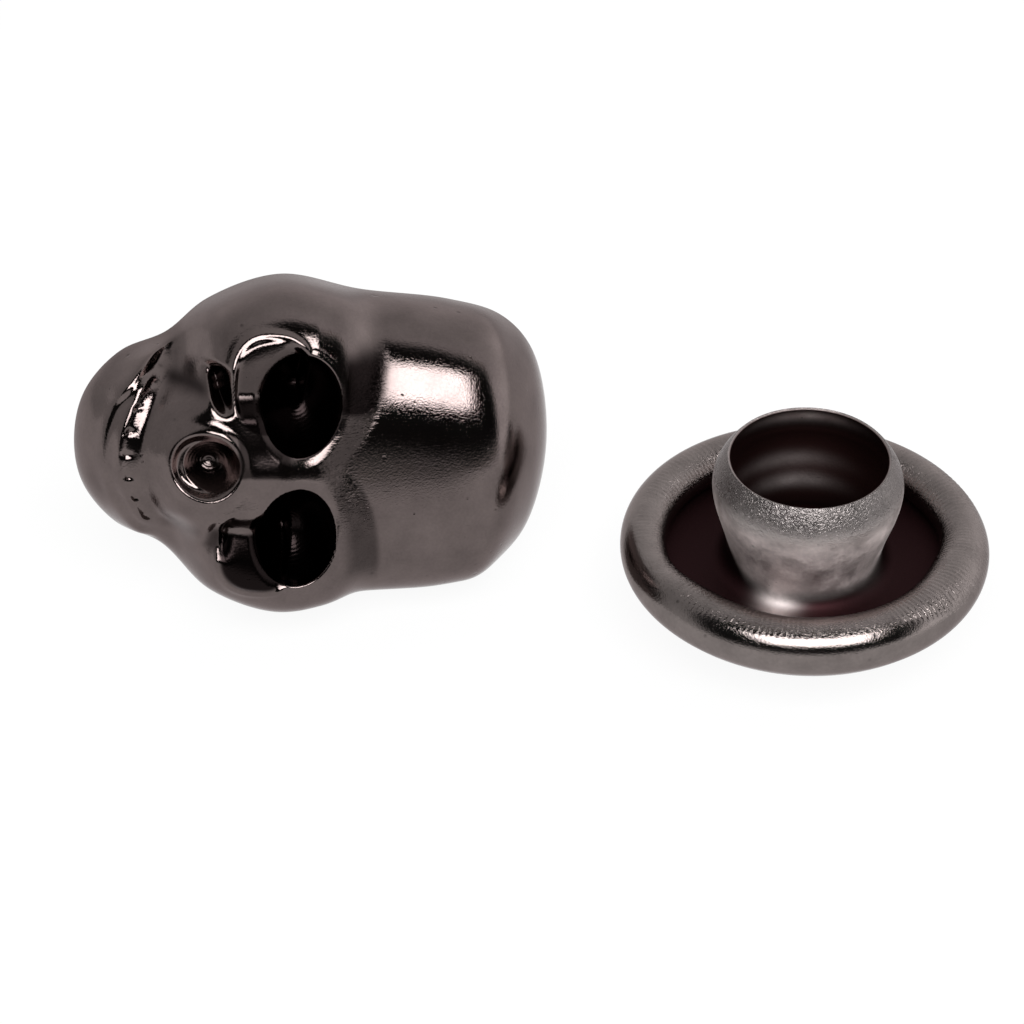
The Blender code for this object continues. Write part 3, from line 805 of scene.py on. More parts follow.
class Effects:
    """Surface effects that the platings share, each built once as a node group."""

    broad_share = 0.7
    pit_core = 0.02
    pit_radii = (0.04, 0.18)
    pit_sizes_at = (0.45, 0.65)
    pits_at = (0.46, 0.52)
    scratch_edge = (0.03, 0.07)
    scratch_stretch = 0.10
    scratches_at = (0.48, 0.62)
    scratch_mask = 0.6
    scratch_ways = ((0.5, 0.0), (1.9, 7.0), (2.7, 3.0))

    def __init__(self) -> None:
        """Build every group."""
        self.mottle = self.build_mottle()
        self.marks = self.build_marks()
        self.grain = self.build_grain()

    def build_mottle(self) -> bpy.types.NodeTree:
        """Slow changes of plating thickness, as a mask around 0."""
        inputs = {"Patch Size": (NUMBER, 1.0), "Fine Size": (NUMBER, 0.1)}
        wiring, given, made = new_group("plating_mottle", "ShaderNodeTree", inputs, {"Mask": NUMBER})
        place_mm = wiring.millimetres()
        broad = wiring.noise(place_mm, wiring.maths("DIVIDE", 1.0, given["Patch Size"]), 3.0)
        fine = wiring.noise(place_mm, wiring.maths("DIVIDE", 1.0, given["Fine Size"]))
        broad = wiring.times(broad, self.broad_share)
        both = wiring.plus(broad, wiring.times(fine, 1.0 - self.broad_share))
        wiring.feed(made["Mask"], wiring.minus(both, 0.5))
        return wiring.tree

    def dots(
        self, wiring: Wiring, vector: object, spacing: object, core: float, edge: object
    ) -> bpy.types.NodeSocket:
        """Scattered dots.

        Args:
            wiring: the tree that they are made in.
            vector: where they are read.
            spacing: the distance from dot to dot.
            core: the radius of a dot's full strength, as a share of the spacing.
            edge: the radius at which a dot ends, as a share of the spacing.

        Returns:
            1 in the middle of a dot and 0 outside it.
        """
        cells = wiring.add("ShaderNodeTexVoronoi", feature="F1")
        wiring.feed(cells.inputs["Vector"], vector)
        wiring.feed(cells.inputs["Scale"], wiring.maths("DIVIDE", 1.0, spacing))
        return wiring.minus(1.0, wiring.ramp(cells.outputs["Distance"], core, edge))

    def build_marks(self) -> bpy.types.NodeTree:
        """Scattered pits and hairline scratches, as a depth in millimetres and a mask."""
        inputs = {
            "Pit Spacing": (NUMBER, 0.5),
            "Pit Depth": (NUMBER, 0.004),
            "Scratch Spacing": (NUMBER, 0.30),
            "Scratch Depth": (NUMBER, 0.0015),
        }
        outputs = {"Height": NUMBER, "Mask": NUMBER}
        wiring, given, made = new_group("handling_marks", "ShaderNodeTree", inputs, outputs)
        place_mm = wiring.millimetres()
        chance = wiring.noise(place_mm, 1.7, 1.0)
        smallest, largest = self.pit_radii
        edge = wiring.times(wiring.ramp(chance, *self.pit_sizes_at), largest - smallest)
        edge = wiring.plus(edge, smallest)
        dot = self.dots(wiring, place_mm, given["Pit Spacing"], self.pit_core, edge)
        total = wiring.times(dot, wiring.ramp(chance, *self.pits_at))
        height = wiring.times(total, given["Pit Depth"])
        for turn, shift in self.scratch_ways:
            mapping = wiring.add("ShaderNodeMapping")
            wiring.feed(mapping.inputs["Vector"], place_mm)
            wiring.feed(mapping.inputs["Rotation"], (turn, 0.7 * turn, 1.3 * turn))
            wiring.feed(mapping.inputs["Location"], (shift, shift, shift))
            wiring.feed(mapping.inputs["Scale"], (self.scratch_stretch, 1.0, 1.0))
            turned = mapping.outputs["Vector"]
            hair = self.dots(wiring, turned, given["Scratch Spacing"], *self.scratch_edge)
            some = wiring.ramp(wiring.noise(turned, 0.9, 1.0), *self.scratches_at)
            hair = wiring.times(hair, some)
            total = wiring.maths("MAXIMUM", total, wiring.times(hair, self.scratch_mask))
            height = wiring.plus(height, wiring.times(hair, given["Scratch Depth"]))
        wiring.feed(made["Height"], wiring.times(height, -1.0))
        wiring.feed(made["Mask"], total)
        return wiring.tree

    def build_grain(self) -> bpy.types.NodeTree:
        """Leathery grain of drawn metal, as a height in millimetres."""
        inputs = {
            "Grain Size": (NUMBER, 0.08),
            "Grain Height": (NUMBER, 0.004),
            "Bend": (NUMBER, 0.5),
            "Along X": (NUMBER, 1.0),
        }
        wiring, given, made = new_group("drawn_grain", "ShaderNodeTree", inputs, {"Height": NUMBER})
        stretch = wiring.add("ShaderNodeCombineXYZ")
        for axis, value in (("X", given["Along X"]), ("Y", 1.0), ("Z", 1.0)):
            wiring.feed(stretch.inputs[axis], value)
        place_mm = wiring.vectors("MULTIPLY", wiring.millimetres(), stretch.outputs[0])
        scale = wiring.maths("DIVIDE", 1.0, given["Grain Size"])
        noise = wiring.noise(place_mm, scale, 3.0, given["Bend"])
        wiring.feed(made["Height"], wiring.times(wiring.minus(noise, 0.5), given["Grain Height"]))
        return wiring.tree


@dataclass(frozen=True)
class PaintedShade:
    """Painted shade: a dark colour laid over the plating where a mask on the mesh says."""

    mask: str
    colour: Colour
    roughness: float


@dataclass(frozen=True)
class RoughBand:
    """A band where a tool left the plating rougher, with a tone that darkens it as painted shade where
    the tone is below 0.
    """

    mask: str
    roughness: float
    height: float
    size: float
    tone: float = 0.0
    stretch: float = 1.0
    bend: float = 1.5


@dataclass(frozen=True)
class Plating:
    """Black nickel over one kind of metal."""

    name: str
    colour: Colour
    roughness: float
    mottle: float
    patch_size: float
    grain_size: float
    grain_height: float
    pit_depth: float
    scratch_depth: float
    fine_size: float = 0.1
    edge_tint: Colour = (0.74, 0.70, 0.70)
    marks_darken: float = 0.35
    marks_roughen: float = 0.12
    band: RoughBand | None = None
    painted_shades: tuple[PaintedShade, ...] = ()

    def material(self, effects: Effects) -> bpy.types.Material:
        """Build the finish.

        Args:
            effects: the shared node groups.

        Returns:
            The material, with its constants on the shader's own sockets.
        """
        material = bpy.data.materials.new(self.name)
        material.use_nodes = True
        shader = material.node_tree.nodes["Principled BSDF"]
        shader.inputs["Metallic"].default_value = 1.0
        shader.inputs["Specular Tint"].default_value = (*self.edge_tint, 1.0)
        wiring = Wiring(material.node_tree)
        mottle = wiring.group(effects.mottle, patch_size=self.patch_size, fine_size=self.fine_size)
        marks = wiring.group(
            effects.marks, pit_depth=self.pit_depth, scratch_depth=self.scratch_depth
        )
        grain = wiring.group(
            effects.grain, grain_size=self.grain_size, grain_height=self.grain_height
        )
        change = wiring.times(mottle["Mask"], self.mottle)
        tone = wiring.minus(wiring.plus(1.0, change), wiring.times(marks["Mask"], self.marks_darken))
        colour = wiring.vectors("SCALE", self.colour, tone)
        rough = wiring.plus(self.roughness, wiring.times(change, self.roughness))
        rough = wiring.plus(rough, wiring.times(marks["Mask"], self.marks_roughen))
        height = wiring.plus(marks["Height"], grain["Height"])
        if self.band:
            amount = wiring.attribute(self.band.mask)
            peel = wiring.group(
                effects.grain,
                grain_size=self.band.size,
                grain_height=self.band.height,
                bend=self.band.bend,
                along_x=self.band.stretch,
            )
            height = wiring.plus(height, wiring.times(peel["Height"], amount))
            rougher = wiring.times(amount, self.band.roughness - self.roughness)
            rough = wiring.plus(rough, rougher)
            # Painted shade: a band whose tone is below 0 darkens the colour.
            shade = wiring.plus(1.0, wiring.times(amount, self.band.tone))
            colour = wiring.vectors("SCALE", colour, shade)
        # Painted shade: each layer lays its dark colour over the plating where its mask says.
        for shade_layer in self.painted_shades:
            cover = wiring.attribute(shade_layer.mask)
            colour = wiring.laid_over("RGBA", cover, colour, (*shade_layer.colour, 1.0))
            rough = wiring.laid_over("FLOAT", cover, rough, shade_layer.roughness)
        bump = wiring.add("ShaderNodeBump")
        bump.inputs["Distance"].default_value = MM
        wiring.feed(bump.inputs["Height"], height)
        wiring.feed(shader.inputs["Base Color"], colour)
        wiring.feed(shader.inputs["Roughness"], rough)
        wiring.feed(shader.inputs["Normal"], bump.outputs["Normal"])
        return material


def store(mesh: bpy.types.Mesh, name: str, values: np.ndarray) -> None:
    """Store one value per vertex under a name."""
    layer = mesh.attributes.new(name, "FLOAT", "POINT")
    layer.data.foreach_set("value", values.astype(np.float32))


def corners_of(mesh: bpy.types.Mesh) -> np.ndarray:
    """The mesh's vertices in metres, one row each."""
    flat = np.empty(len(mesh.vertices) * 3, np.float32)
    mesh.vertices.foreach_get("co", flat)
    return flat.reshape(-1, 3).astype(float)


@dataclass
class SkullHalf:
    """The cast skull and the post behind it, and how they lie."""

    finish: Plating
    post_finish: Plating
    form: SkullForm = field(default_factory=SkullForm)
    yaw: float = 12.0
    lean: float = 66.4870
    roll: float = 8.0805
    rest: tuple[float, float, float] = (-5.3969, 0.3983, 3.6307)
    steps_around: int = 620
    rings_on_top: int = 112
    rings_on_wall: int = 36
    wall_starts: float = 0.80

    stake_thickness: float = 0.22
    stake_lap: float = 0.30
    crimp_gap: float = 0.02
    edge_round: float = 0.04
    back_shares: tuple[float, ...] = (0.3, 0.6, 0.85, 1.0)
    face_starts: float = 0.1

    post_radius: float = 1.65
    post_wall: float = 0.28
    post_length: float = 5.75
    flange_radius: float = 2.35
    foot_fillet: float = 0.22
    tip_fillet: float = 0.55
    post_steps: int = 160
    post_bore_rings: tuple[float, ...] = (0.7, 0.4, 0.1)

    def matrix(self) -> Matrix:
        """Where the half lies."""
        turn = Matrix.Rotation(math.radians(self.yaw), 4, "Z")
        turn = turn @ Matrix.Rotation(math.radians(self.lean), 4, "X")
        turn = turn @ Matrix.Rotation(math.radians(-self.roll), 4, "Z")
        return Matrix.Translation(Vector(self.rest) * MM) @ turn

    def seat_depth(self) -> float:
        """Depth of the seat in the back, from the back face to its floor."""
        return self.stake_thickness + self.post_wall + 2.0 * self.crimp_gap

    def shares(self) -> np.ndarray:
        """Ring positions from the middle line out to the outline."""
        top = np.linspace(0.0, self.wall_starts, self.rings_on_top + 1)
        power = self.form.cranium_fullness / 2.0
        start = math.acos(self.wall_starts ** power)
        wall = start * (1.0 - np.arange(1, self.rings_on_wall + 1) / self.rings_on_wall)
        return np.concatenate([top, np.cos(wall) ** (1.0 / power)])

    def head_mesh(self) -> bpy.types.Mesh:
        """The casting: its face, its flat back and the seat staked over the post's flange."""
        form, steps = self.form, self.steps_around
        outline = form.outline(steps)
        spine = np.stack([outline[:, 0] * form.spine_share, np.zeros(steps)], axis=1)
        rings = []
        for share in self.shares():
            plan = spine + (outline - spine) * share
            height = form.height(plan[:, 0], plan[:, 1], np.full(steps, share))
            rings.append(np.column_stack([plan, height]))
        seat = self.flange_radius + self.crimp_gap
        lip = self.flange_radius - self.stake_lap
        soft = self.edge_round
        edge, inner = rings[-1], ring(lip + soft, 0.0, steps)
        rings += [mix(edge, inner, share) for share in self.back_shares]
        profile = arc((lip + soft, soft), soft, -90.0, -180.0, 4)[1:]
        profile += [(lip, self.stake_thickness), (seat, self.stake_thickness), (seat, self.seat_depth())]
        rings += [ring(radius, height, steps) for radius, height in profile]
        floor = Vector((0.0, 0.0, self.seat_depth()))
        placed = place(np.array(rings), self.matrix())
        pole = self.matrix() @ (floor * MM)
        mesh = grid_mesh("cast_skull", placed, end_pole=pole, sharp_angle=55.0)
        turn = np.array(self.matrix().to_3x3())
        local = (corners_of(mesh) - np.array(self.matrix().translation)) @ turn / MM
        in_face = local[:, 2] > self.seat_depth() + self.face_starts
        # Painted shade: the face's pits, hollows and dark-looking places get a nearly black colour.
        face_shade = PaintedFaceShade(form)
        store(mesh, "painted_shade", face_shade.painted_shade(local[:, 0], local[:, 1]) * in_face)
        store(mesh, "brushed_and_shaded", face_shade.brushing_and_shade(local[:, 0], local[:, 1]) * in_face)
        return mesh

    def post_mesh(self) -> bpy.types.Mesh:
        """The drawn post, closed at its tip and open at its flange."""
        top = -(self.seat_depth() - self.crimp_gap)
        under = top + self.post_wall
        bore = self.post_radius - self.post_wall
        inner_tip = self.tip_fillet - self.post_wall
        end = self.post_length - self.post_wall
        inside = arc((bore - inner_tip, end - inner_tip), inner_tip, 0.0, 90.0, 6)[::-1]
        inside += [(bore, end * share) for share in self.post_bore_rings] + [(bore, top)]
        soft = self.edge_round
        outside = arc((self.flange_radius - soft, top + soft), soft, -90.0, 0.0, 3)
        outside += arc((self.flange_radius - soft, under - soft), soft, 0.0, 90.0, 3)
        foot = (self.post_radius + self.foot_fillet, under + self.foot_fillet)
        outside += arc(foot, self.foot_fillet, -90.0, -180.0, 8)
        straight = np.linspace(under + self.foot_fillet, self.post_length - self.tip_fillet, 14)[1:-1]
        outside += [(self.post_radius, float(depth)) for depth in straight]
        tip = (self.post_radius - self.tip_fillet, self.post_length - self.tip_fillet)
        outside += arc(tip, self.tip_fillet, 0.0, 90.0, 12)
        rings = np.array([ring(radius, -depth, self.post_steps) for radius, depth in inside + outside])
        matrix = self.matrix()
        start = matrix @ (Vector((0.0, 0.0, -end)) * MM)
        tip_point = matrix @ (Vector((0.0, 0.0, -self.post_length)) * MM)
        return grid_mesh("drawn_post", place(rings, matrix), start_pole=start, end_pole=tip_point)

    def build(self, effects: Effects) -> list[bpy.types.Object]:
        """Make and dress both pieces."""
        head = self.head_mesh()
        head.materials.append(self.finish.material(effects))
        post = self.post_mesh()
        post.materials.append(self.post_finish.material(effects))
        return [
            add_piece(head, "skull_head"),
            add_piece(post, "rivet_post"),
        ]


class RimCrimps:
    """Folds that the curling tool leaves on the rim's inner slope, made with Geometry Nodes."""

    wander = 9.0
    wander_scale = 1400.0
    patch_scale = 420.0
    patches_at = (0.35, 0.65)
    patch_seed = 5.0

    def __init__(self, folds: int, depth: float, seed: float) -> None:
        """Settle how many folds go round the rim, how deep they are and which way they fall."""
        self.settings = {"Folds": folds, "Depth": depth * MM, "Seed": seed}
        self.tree, self.identifiers = self.build_tree()

    def build_tree(self) -> tuple[bpy.types.NodeTree, dict[str, str]]:
        """Build the tree that presses the folds into a mesh.

        Returns:
            The tree, and each input's identifier by its name.
        """
        inputs = {
            "Geometry": ("NodeSocketGeometry", None),
            "Centre": ("NodeSocketVector", (0.0, 0.0, 0.0)),
            "Folds": (NUMBER, 90.0),
            "Depth": (NUMBER, 1e-5),
            "Seed": (NUMBER, 1.0),
            "Material": ("NodeSocketMaterial", None),
        }
        outputs = {"Geometry": "NodeSocketGeometry"}
        wiring, given, made = new_group("rim_crimps", "GeometryNodeTree", inputs, outputs)
        position = wiring.add("GeometryNodeInputPosition").outputs[0]
        here = wiring.vectors("SUBTRACT", position, given["Centre"])
        parts = wiring.add("ShaderNodeSeparateXYZ")
        wiring.feed(parts.inputs[0], here)
        angle = wiring.maths("ARCTAN2", parts.outputs["Y"], parts.outputs["X"])
        noise = wiring.noise(here, self.wander_scale, seed=given["Seed"])
        wander = wiring.times(wiring.minus(noise, 0.5), self.wander)
        phase = wiring.plus(wiring.times(angle, given["Folds"]), wander)
        wave = wiring.minus(wiring.maths("SINE", phase), 1.0)
        patches = wiring.noise(
            here, self.patch_scale, seed=wiring.plus(given["Seed"], self.patch_seed)
        )
        amount = wiring.ramp(patches, *self.patches_at)
        band = wiring.add("GeometryNodeInputNamedAttribute", data_type="FLOAT")
        band.inputs["Name"].default_value = "crimp_band"
        depth = wiring.times(wiring.times(wave, given["Depth"]), amount)
        depth = wiring.times(depth, band.outputs["Attribute"])
        move = wiring.add("GeometryNodeSetPosition")
        wiring.feed(move.inputs["Geometry"], given["Geometry"])
        normal = wiring.add("GeometryNodeInputNormal").outputs[0]
        wiring.feed(move.inputs["Offset"], wiring.vectors("SCALE", normal, depth))
        realize = wiring.add("GeometryNodeRealizeInstances")
        wiring.feed(realize.inputs[0], move.outputs[0])
        dress = wiring.add("GeometryNodeSetMaterial")
        wiring.feed(dress.inputs["Geometry"], realize.outputs[0])
        wiring.feed(dress.inputs["Material"], given["Material"])
        wiring.feed(made["Geometry"], dress.outputs[0])
        names = {item.name: item.identifier for item in wiring.tree.interface.items_tree}
        return wiring.tree, names

    def press(
        self, mesh: bpy.types.Mesh, centre: Vector, material: bpy.types.Material
    ) -> bpy.types.Mesh:
        """Press the folds into a mesh.

        Args:
            mesh: the mesh, with its band stored as crimp_band.
            centre: a point on the rim's axis.
            material: the finish that the result wears.

        Returns:
            The plain mesh with its folds.
        """
        carrier = bpy.data.objects.new(mesh.name + "_carrier", mesh)
        bpy.context.scene.collection.objects.link(carrier)
        modifier = carrier.modifiers.new("rim_crimps", "NODES")
        modifier.node_group = self.tree
        settings = {**self.settings, "Centre": centre, "Material": material}
        for label, value in settings.items():
            modifier[self.identifiers[label]] = value
        depsgraph = bpy.context.evaluated_depsgraph_get()
        pressed = bpy.data.meshes.new_from_object(carrier.evaluated_get(depsgraph))
        pressed.name = mesh.name + "_pressed"
        carrier.modifiers.remove(modifier)
        bpy.data.objects.remove(carrier, do_unlink=True)
        return pressed


@dataclass(frozen=True)
class Patch:
    """A soft patch or band on the collar, with its turn and width in degrees."""

    turn: float
    width: float
    place: float
    share: float

    def at(self, turn: np.ndarray, place: np.ndarray, spread: float) -> np.ndarray:
        """How strongly the patch shows.

        Args:
            turn: angle around the cap's axis.
            place: place along the axis, from the same edge as the patch's own.
            spread: how far the patch reaches along the axis.

        Returns:
            From 0 to the patch's share.
        """
        away = np.abs(np.mod(turn - self.turn + 180.0, 360.0) - 180.0)
        return self.share * bell(away, self.width) * bell(place - self.place, spread)


@dataclass
class CapHalf:
    """The domed shell with its curled rim and the collar that it traps."""

    shell_finish: Plating
    collar_finish: Plating
    radius: float = 4.50
    sheet: float = 0.25
    curl_radius: float = 0.57
    curl_centre: float = 1.85
    curl_join: float = -40.0
    curl_end: float = 215.0
    curl_steps: int = 44
    curl_swell: Point = (0.12, 0.06)
    swell_turn: float = 12.0
    swell_cosine: Span = (-0.1, 0.7)
    curl_face: Span = (-0.06, -0.01)
    crimps_start: float = 58.0
    crimps_longer: float = 45.0
    crimps_grow: Span = (25.0, 60.0)
    crimps_shrink: Span = (150.0, 110.0)
    crimps_fade: float = 25.0
    crimps_end: Span = (185.0, 135.0)
    inner_shade_middle: float = 0.5
    inner_shade_fade: Span = (0.6, 0.4)
    inner_shade_sheet_share: float = 0.6
    dome_steps: int = 14
    shell_steps: int = 720

    collar_sheet: float = 0.20
    waist_radius: float = 1.90
    foot_fillet: float = 0.40
    chamber_radius: float = 2.31
    mouth_radius: float = 1.97
    mouth_edge: float = 0.06
    flange_steps: int = 8
    bore_starts: Span = (0.03, 0.06)
    mouth_band: Span = (-1.25, -0.30)
    # Painted shade on the collar's foot and flange, left off in a few gaps where the lighter collar
    # catches the light.
    dark_foot: Point = (0.60, 1.12)
    dark_foot_grows: Span = (42.0, 90.0)
    dark_foot_fade: float = 0.45
    dark_flange: Span = (0.0, 0.10)
    shade_gap_height: float = 0.22
    bore_reflection_height: float = 0.18
    shade_gaps: tuple[Patch, ...] = (
        Patch(-25.0, 13.0, 0.40, 0.95),
        Patch(-22.0, 11.0, 0.16, 0.55),
        Patch(55.0, 17.0, 0.52, 0.45),
    )
    # Bands where the painted shade in the bore is thinner, as painted reflections.
    bore_reflections: tuple[Patch, ...] = (
        Patch(180.0, 30.0, 0.32, 1.00),
        Patch(195.0, 36.0, 1.55, 0.22),
        Patch(188.0, 32.0, 2.10, 0.34),
    )
    foot_to_waist: float = 0.36
    waist_to_chamber: float = 1.94
    chamber_to_mouth: float = 0.80
    crimp_gap: float = 0.02
    collar_steps: int = 360

    def axis(self) -> Vector:
        """The point where the cap's axis meets the floor, in metres."""
        low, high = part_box("cap_shell")
        return Vector(((low[0] + high[0]) / 2.0, (low[1] + high[1]) / 2.0, 0.0))

    def dome(self, join: Point, slope: float) -> list[Point]:
        """Ellipse points from the axis to a joint, with a level start at height 0."""
        cosine = join[1] / (slope * join[0] - join[1])
        sine = math.sqrt(1.0 - cosine * cosine)
        rise = join[1] / (1.0 - cosine)
        reach = join[0] / sine
        turns = np.linspace(0.0, math.atan2(sine, cosine), self.dome_steps + 1)[1:-1]
        return [(reach * math.sin(t), rise * (1.0 - math.cos(t))) for t in turns]

    def shell_profiles(self, swell: Point = (0.0, 0.0)) -> tuple[list[Point], list[Point]]:
        """Outer and inner face of the shell's sheet.

        Args:
            swell: how much larger the curl's radius is, and how much higher its centre.

        Returns:
            Both profiles as (radius, height).
        """
        radius = self.curl_radius + swell[0]
        centre = (self.radius - radius, self.curl_centre + swell[1])
        curl = arc(centre, radius, self.curl_join, self.curl_end, self.curl_steps)
        slope = -1.0 / math.tan(math.radians(self.curl_join))
        outer = self.dome(curl[0], slope) + curl
        return outer, offset_left(outer, self.sheet)

    def turned(self, profile: list[Point], steps: int) -> np.ndarray:
        """Rings of a profile about the cap's axis, in metres."""
        rings = np.array([ring(radius, height, steps) for radius, height in profile])
        return rings * MM + np.array(self.axis())

    def from_axis(self, mesh: bpy.types.Mesh) -> tuple[np.ndarray, np.ndarray, np.ndarray]:
        """Places of a mesh's vertices about the cap's axis, in millimetres and degrees.

        Args:
            mesh: a mesh in its place.

        Returns:
            Distance from the axis, height, and angle around it from the front towards +X.
        """
        points = (corners_of(mesh) - np.array(self.axis())) / MM
        turn = np.degrees(np.arctan2(points[:, 0], -points[:, 1]))
        return np.hypot(points[:, 0], points[:, 1]), points[:, 2], turn

    def shell_mesh(self) -> bpy.types.Mesh:
        """The shell before its rim is crimped, with the crimped band and the painted shade inside its
        dome stored.
        """
        rings, full = [
            self.turned(inner[::2] + outer[::-1], self.shell_steps)
            for outer, inner in (self.shell_profiles(), self.shell_profiles(self.curl_swell))
        ]
        seen = rings - np.array(self.axis())
        turn = np.degrees(np.arctan2(seen[..., 0], -seen[..., 1])) - self.swell_turn
        share = between(np.cos(np.radians(turn)), *self.swell_cosine)[..., None]
        top, bottom = Vector((0.0, 0.0, self.sheet)) * MM, Vector((0.0, 0.0, 0.0))
        mesh = grid_mesh(
            "curled_shell",
            mix(rings, full, share),
            start_pole=self.axis() + top,
            end_pole=self.axis() + bottom,
        )
        reach, height, turn = self.from_axis(mesh)
        out, up = reach - self.radius + self.curl_radius, height - self.curl_centre
        angle = np.degrees(np.mod(np.arctan2(up, out), 2.0 * math.pi))
        on_curl = between(np.hypot(up, out) - self.curl_radius, *self.curl_face)
        longer = between(turn, *self.crimps_grow) * between(turn, *self.crimps_shrink)
        start = self.crimps_start - self.crimps_longer * longer
        band = between(angle, start, start + self.crimps_fade)
        store(mesh, "crimp_band", band * between(angle, *self.crimps_end) * on_curl)
        # Painted shade on the inside of the dome, seen through the collar's bore.
        inner_shade = between(np.abs(height - self.inner_shade_middle), *self.inner_shade_fade)
        inner_shade = inner_shade * (reach < self.waist_radius)
        store(mesh, "painted_shade", inner_shade * (height > self.inner_shade_sheet_share * self.sheet))
        return mesh

    def flange_seat(self) -> Point:
        """Top height and outer radius of the collar's flange."""
        outer, inner = self.shell_profiles()
        top = min(outer[-1][1], inner[-1][1]) - self.crimp_gap
        radii, heights = zip(*inner[: self.dome_steps])
        under = top - self.collar_sheet - self.crimp_gap
        return top, float(np.interp(under, heights, radii)) - self.crimp_gap

    def collar_profile(self) -> tuple[list[Point], list[Point]]:
        """Outer and inner face of the collar's sheet, from its flange to its mouth."""
        top, rim = self.flange_seat()
        fillet = self.foot_fillet
        waist = top + self.foot_to_waist
        chamber = waist + self.waist_to_chamber
        mouth = chamber + self.chamber_to_mouth
        foot = self.waist_radius + fillet
        outer = [(mix(rim, foot, t), top) for t in np.linspace(0.0, 1.0, self.flange_steps)[:-1]]
        outer += arc((foot, top + fillet), fillet, -90.0, -180.0, 12)
        swell = self.chamber_radius - self.waist_radius
        for t in np.linspace(0.0, 1.0, 30)[1:]:
            bulge = float(t * t * (3.0 - 2.0 * t))
            outer.append((self.waist_radius + swell * bulge, mix(waist, chamber, t)))
        closing = self.chamber_radius - self.mouth_radius
        for t in np.linspace(0.0, 1.0, 16)[1:]:
            outer.append((self.chamber_radius - closing * float(t * t), mix(chamber, mouth, t)))
        heights = [point[1] for point in outer]
        sheet = np.interp(heights, (chamber, mouth), (self.collar_sheet, self.mouth_edge))
        inner = offset_left(outer, sheet[:, None])
        inner[0] = (rim, top - self.collar_sheet)
        inner[-1] = (self.mouth_radius - self.mouth_edge, mouth - 0.5 * self.mouth_edge)
        return outer, inner

    def collar_mesh(self) -> bpy.types.Mesh:
        """The drawn collar, with its painted shade on the foot, flange and bore and its mouth band
        stored.
        """
        outer, inner = self.collar_profile()
        rings = self.turned(outer + inner[::-1], self.collar_steps)
        mesh = grid_mesh("drawn_collar", rings, closed=True)
        top, mouth = outer[0][1], outer[-1][1]
        wall = outer[self.flange_steps - 1 :]
        reach, height, turn = self.from_axis(mesh)
        inside = np.interp(height, [point[1] for point in wall], [point[0] for point in wall]) - reach
        bore = between(inside, *self.bore_starts)
        store(mesh, "mouth_band", between(height - mouth, *self.mouth_band) * (1.0 - bore))
        # Painted shade on the foot and flange, with gaps where the lighter collar catches the light.
        rise = height - top
        foot = mix(*self.dark_foot, between(np.abs(turn), *self.dark_foot_grows))
        cover = ease((foot - rise) / self.dark_foot_fade)
        for patch in self.shade_gaps:
            cover = cover * (1.0 - patch.at(turn, rise, self.shade_gap_height))
        flange = between(reach - self.waist_radius - self.foot_fillet, *self.dark_flange)
        store(mesh, "painted_shade", np.maximum(cover, flange) * (1.0 - bore))
        # Painted shade in the bore, thinned in bands as painted reflections.
        for patch in self.bore_reflections:
            bore = bore * (1.0 - patch.at(turn, mouth - height, self.bore_reflection_height))
        store(mesh, "bore", bore)
        return mesh

    def build(self, effects: Effects, crimps: RimCrimps) -> list[bpy.types.Object]:
        """Make and dress both pieces."""
        shell = crimps.press(self.shell_mesh(), self.axis(), self.shell_finish.material(effects))
        collar = self.collar_mesh()
        collar.materials.append(self.collar_finish.material(effects))
        return [
            add_piece(shell, "cap_shell"),
            add_piece(collar, "cap_collar"),
        ]


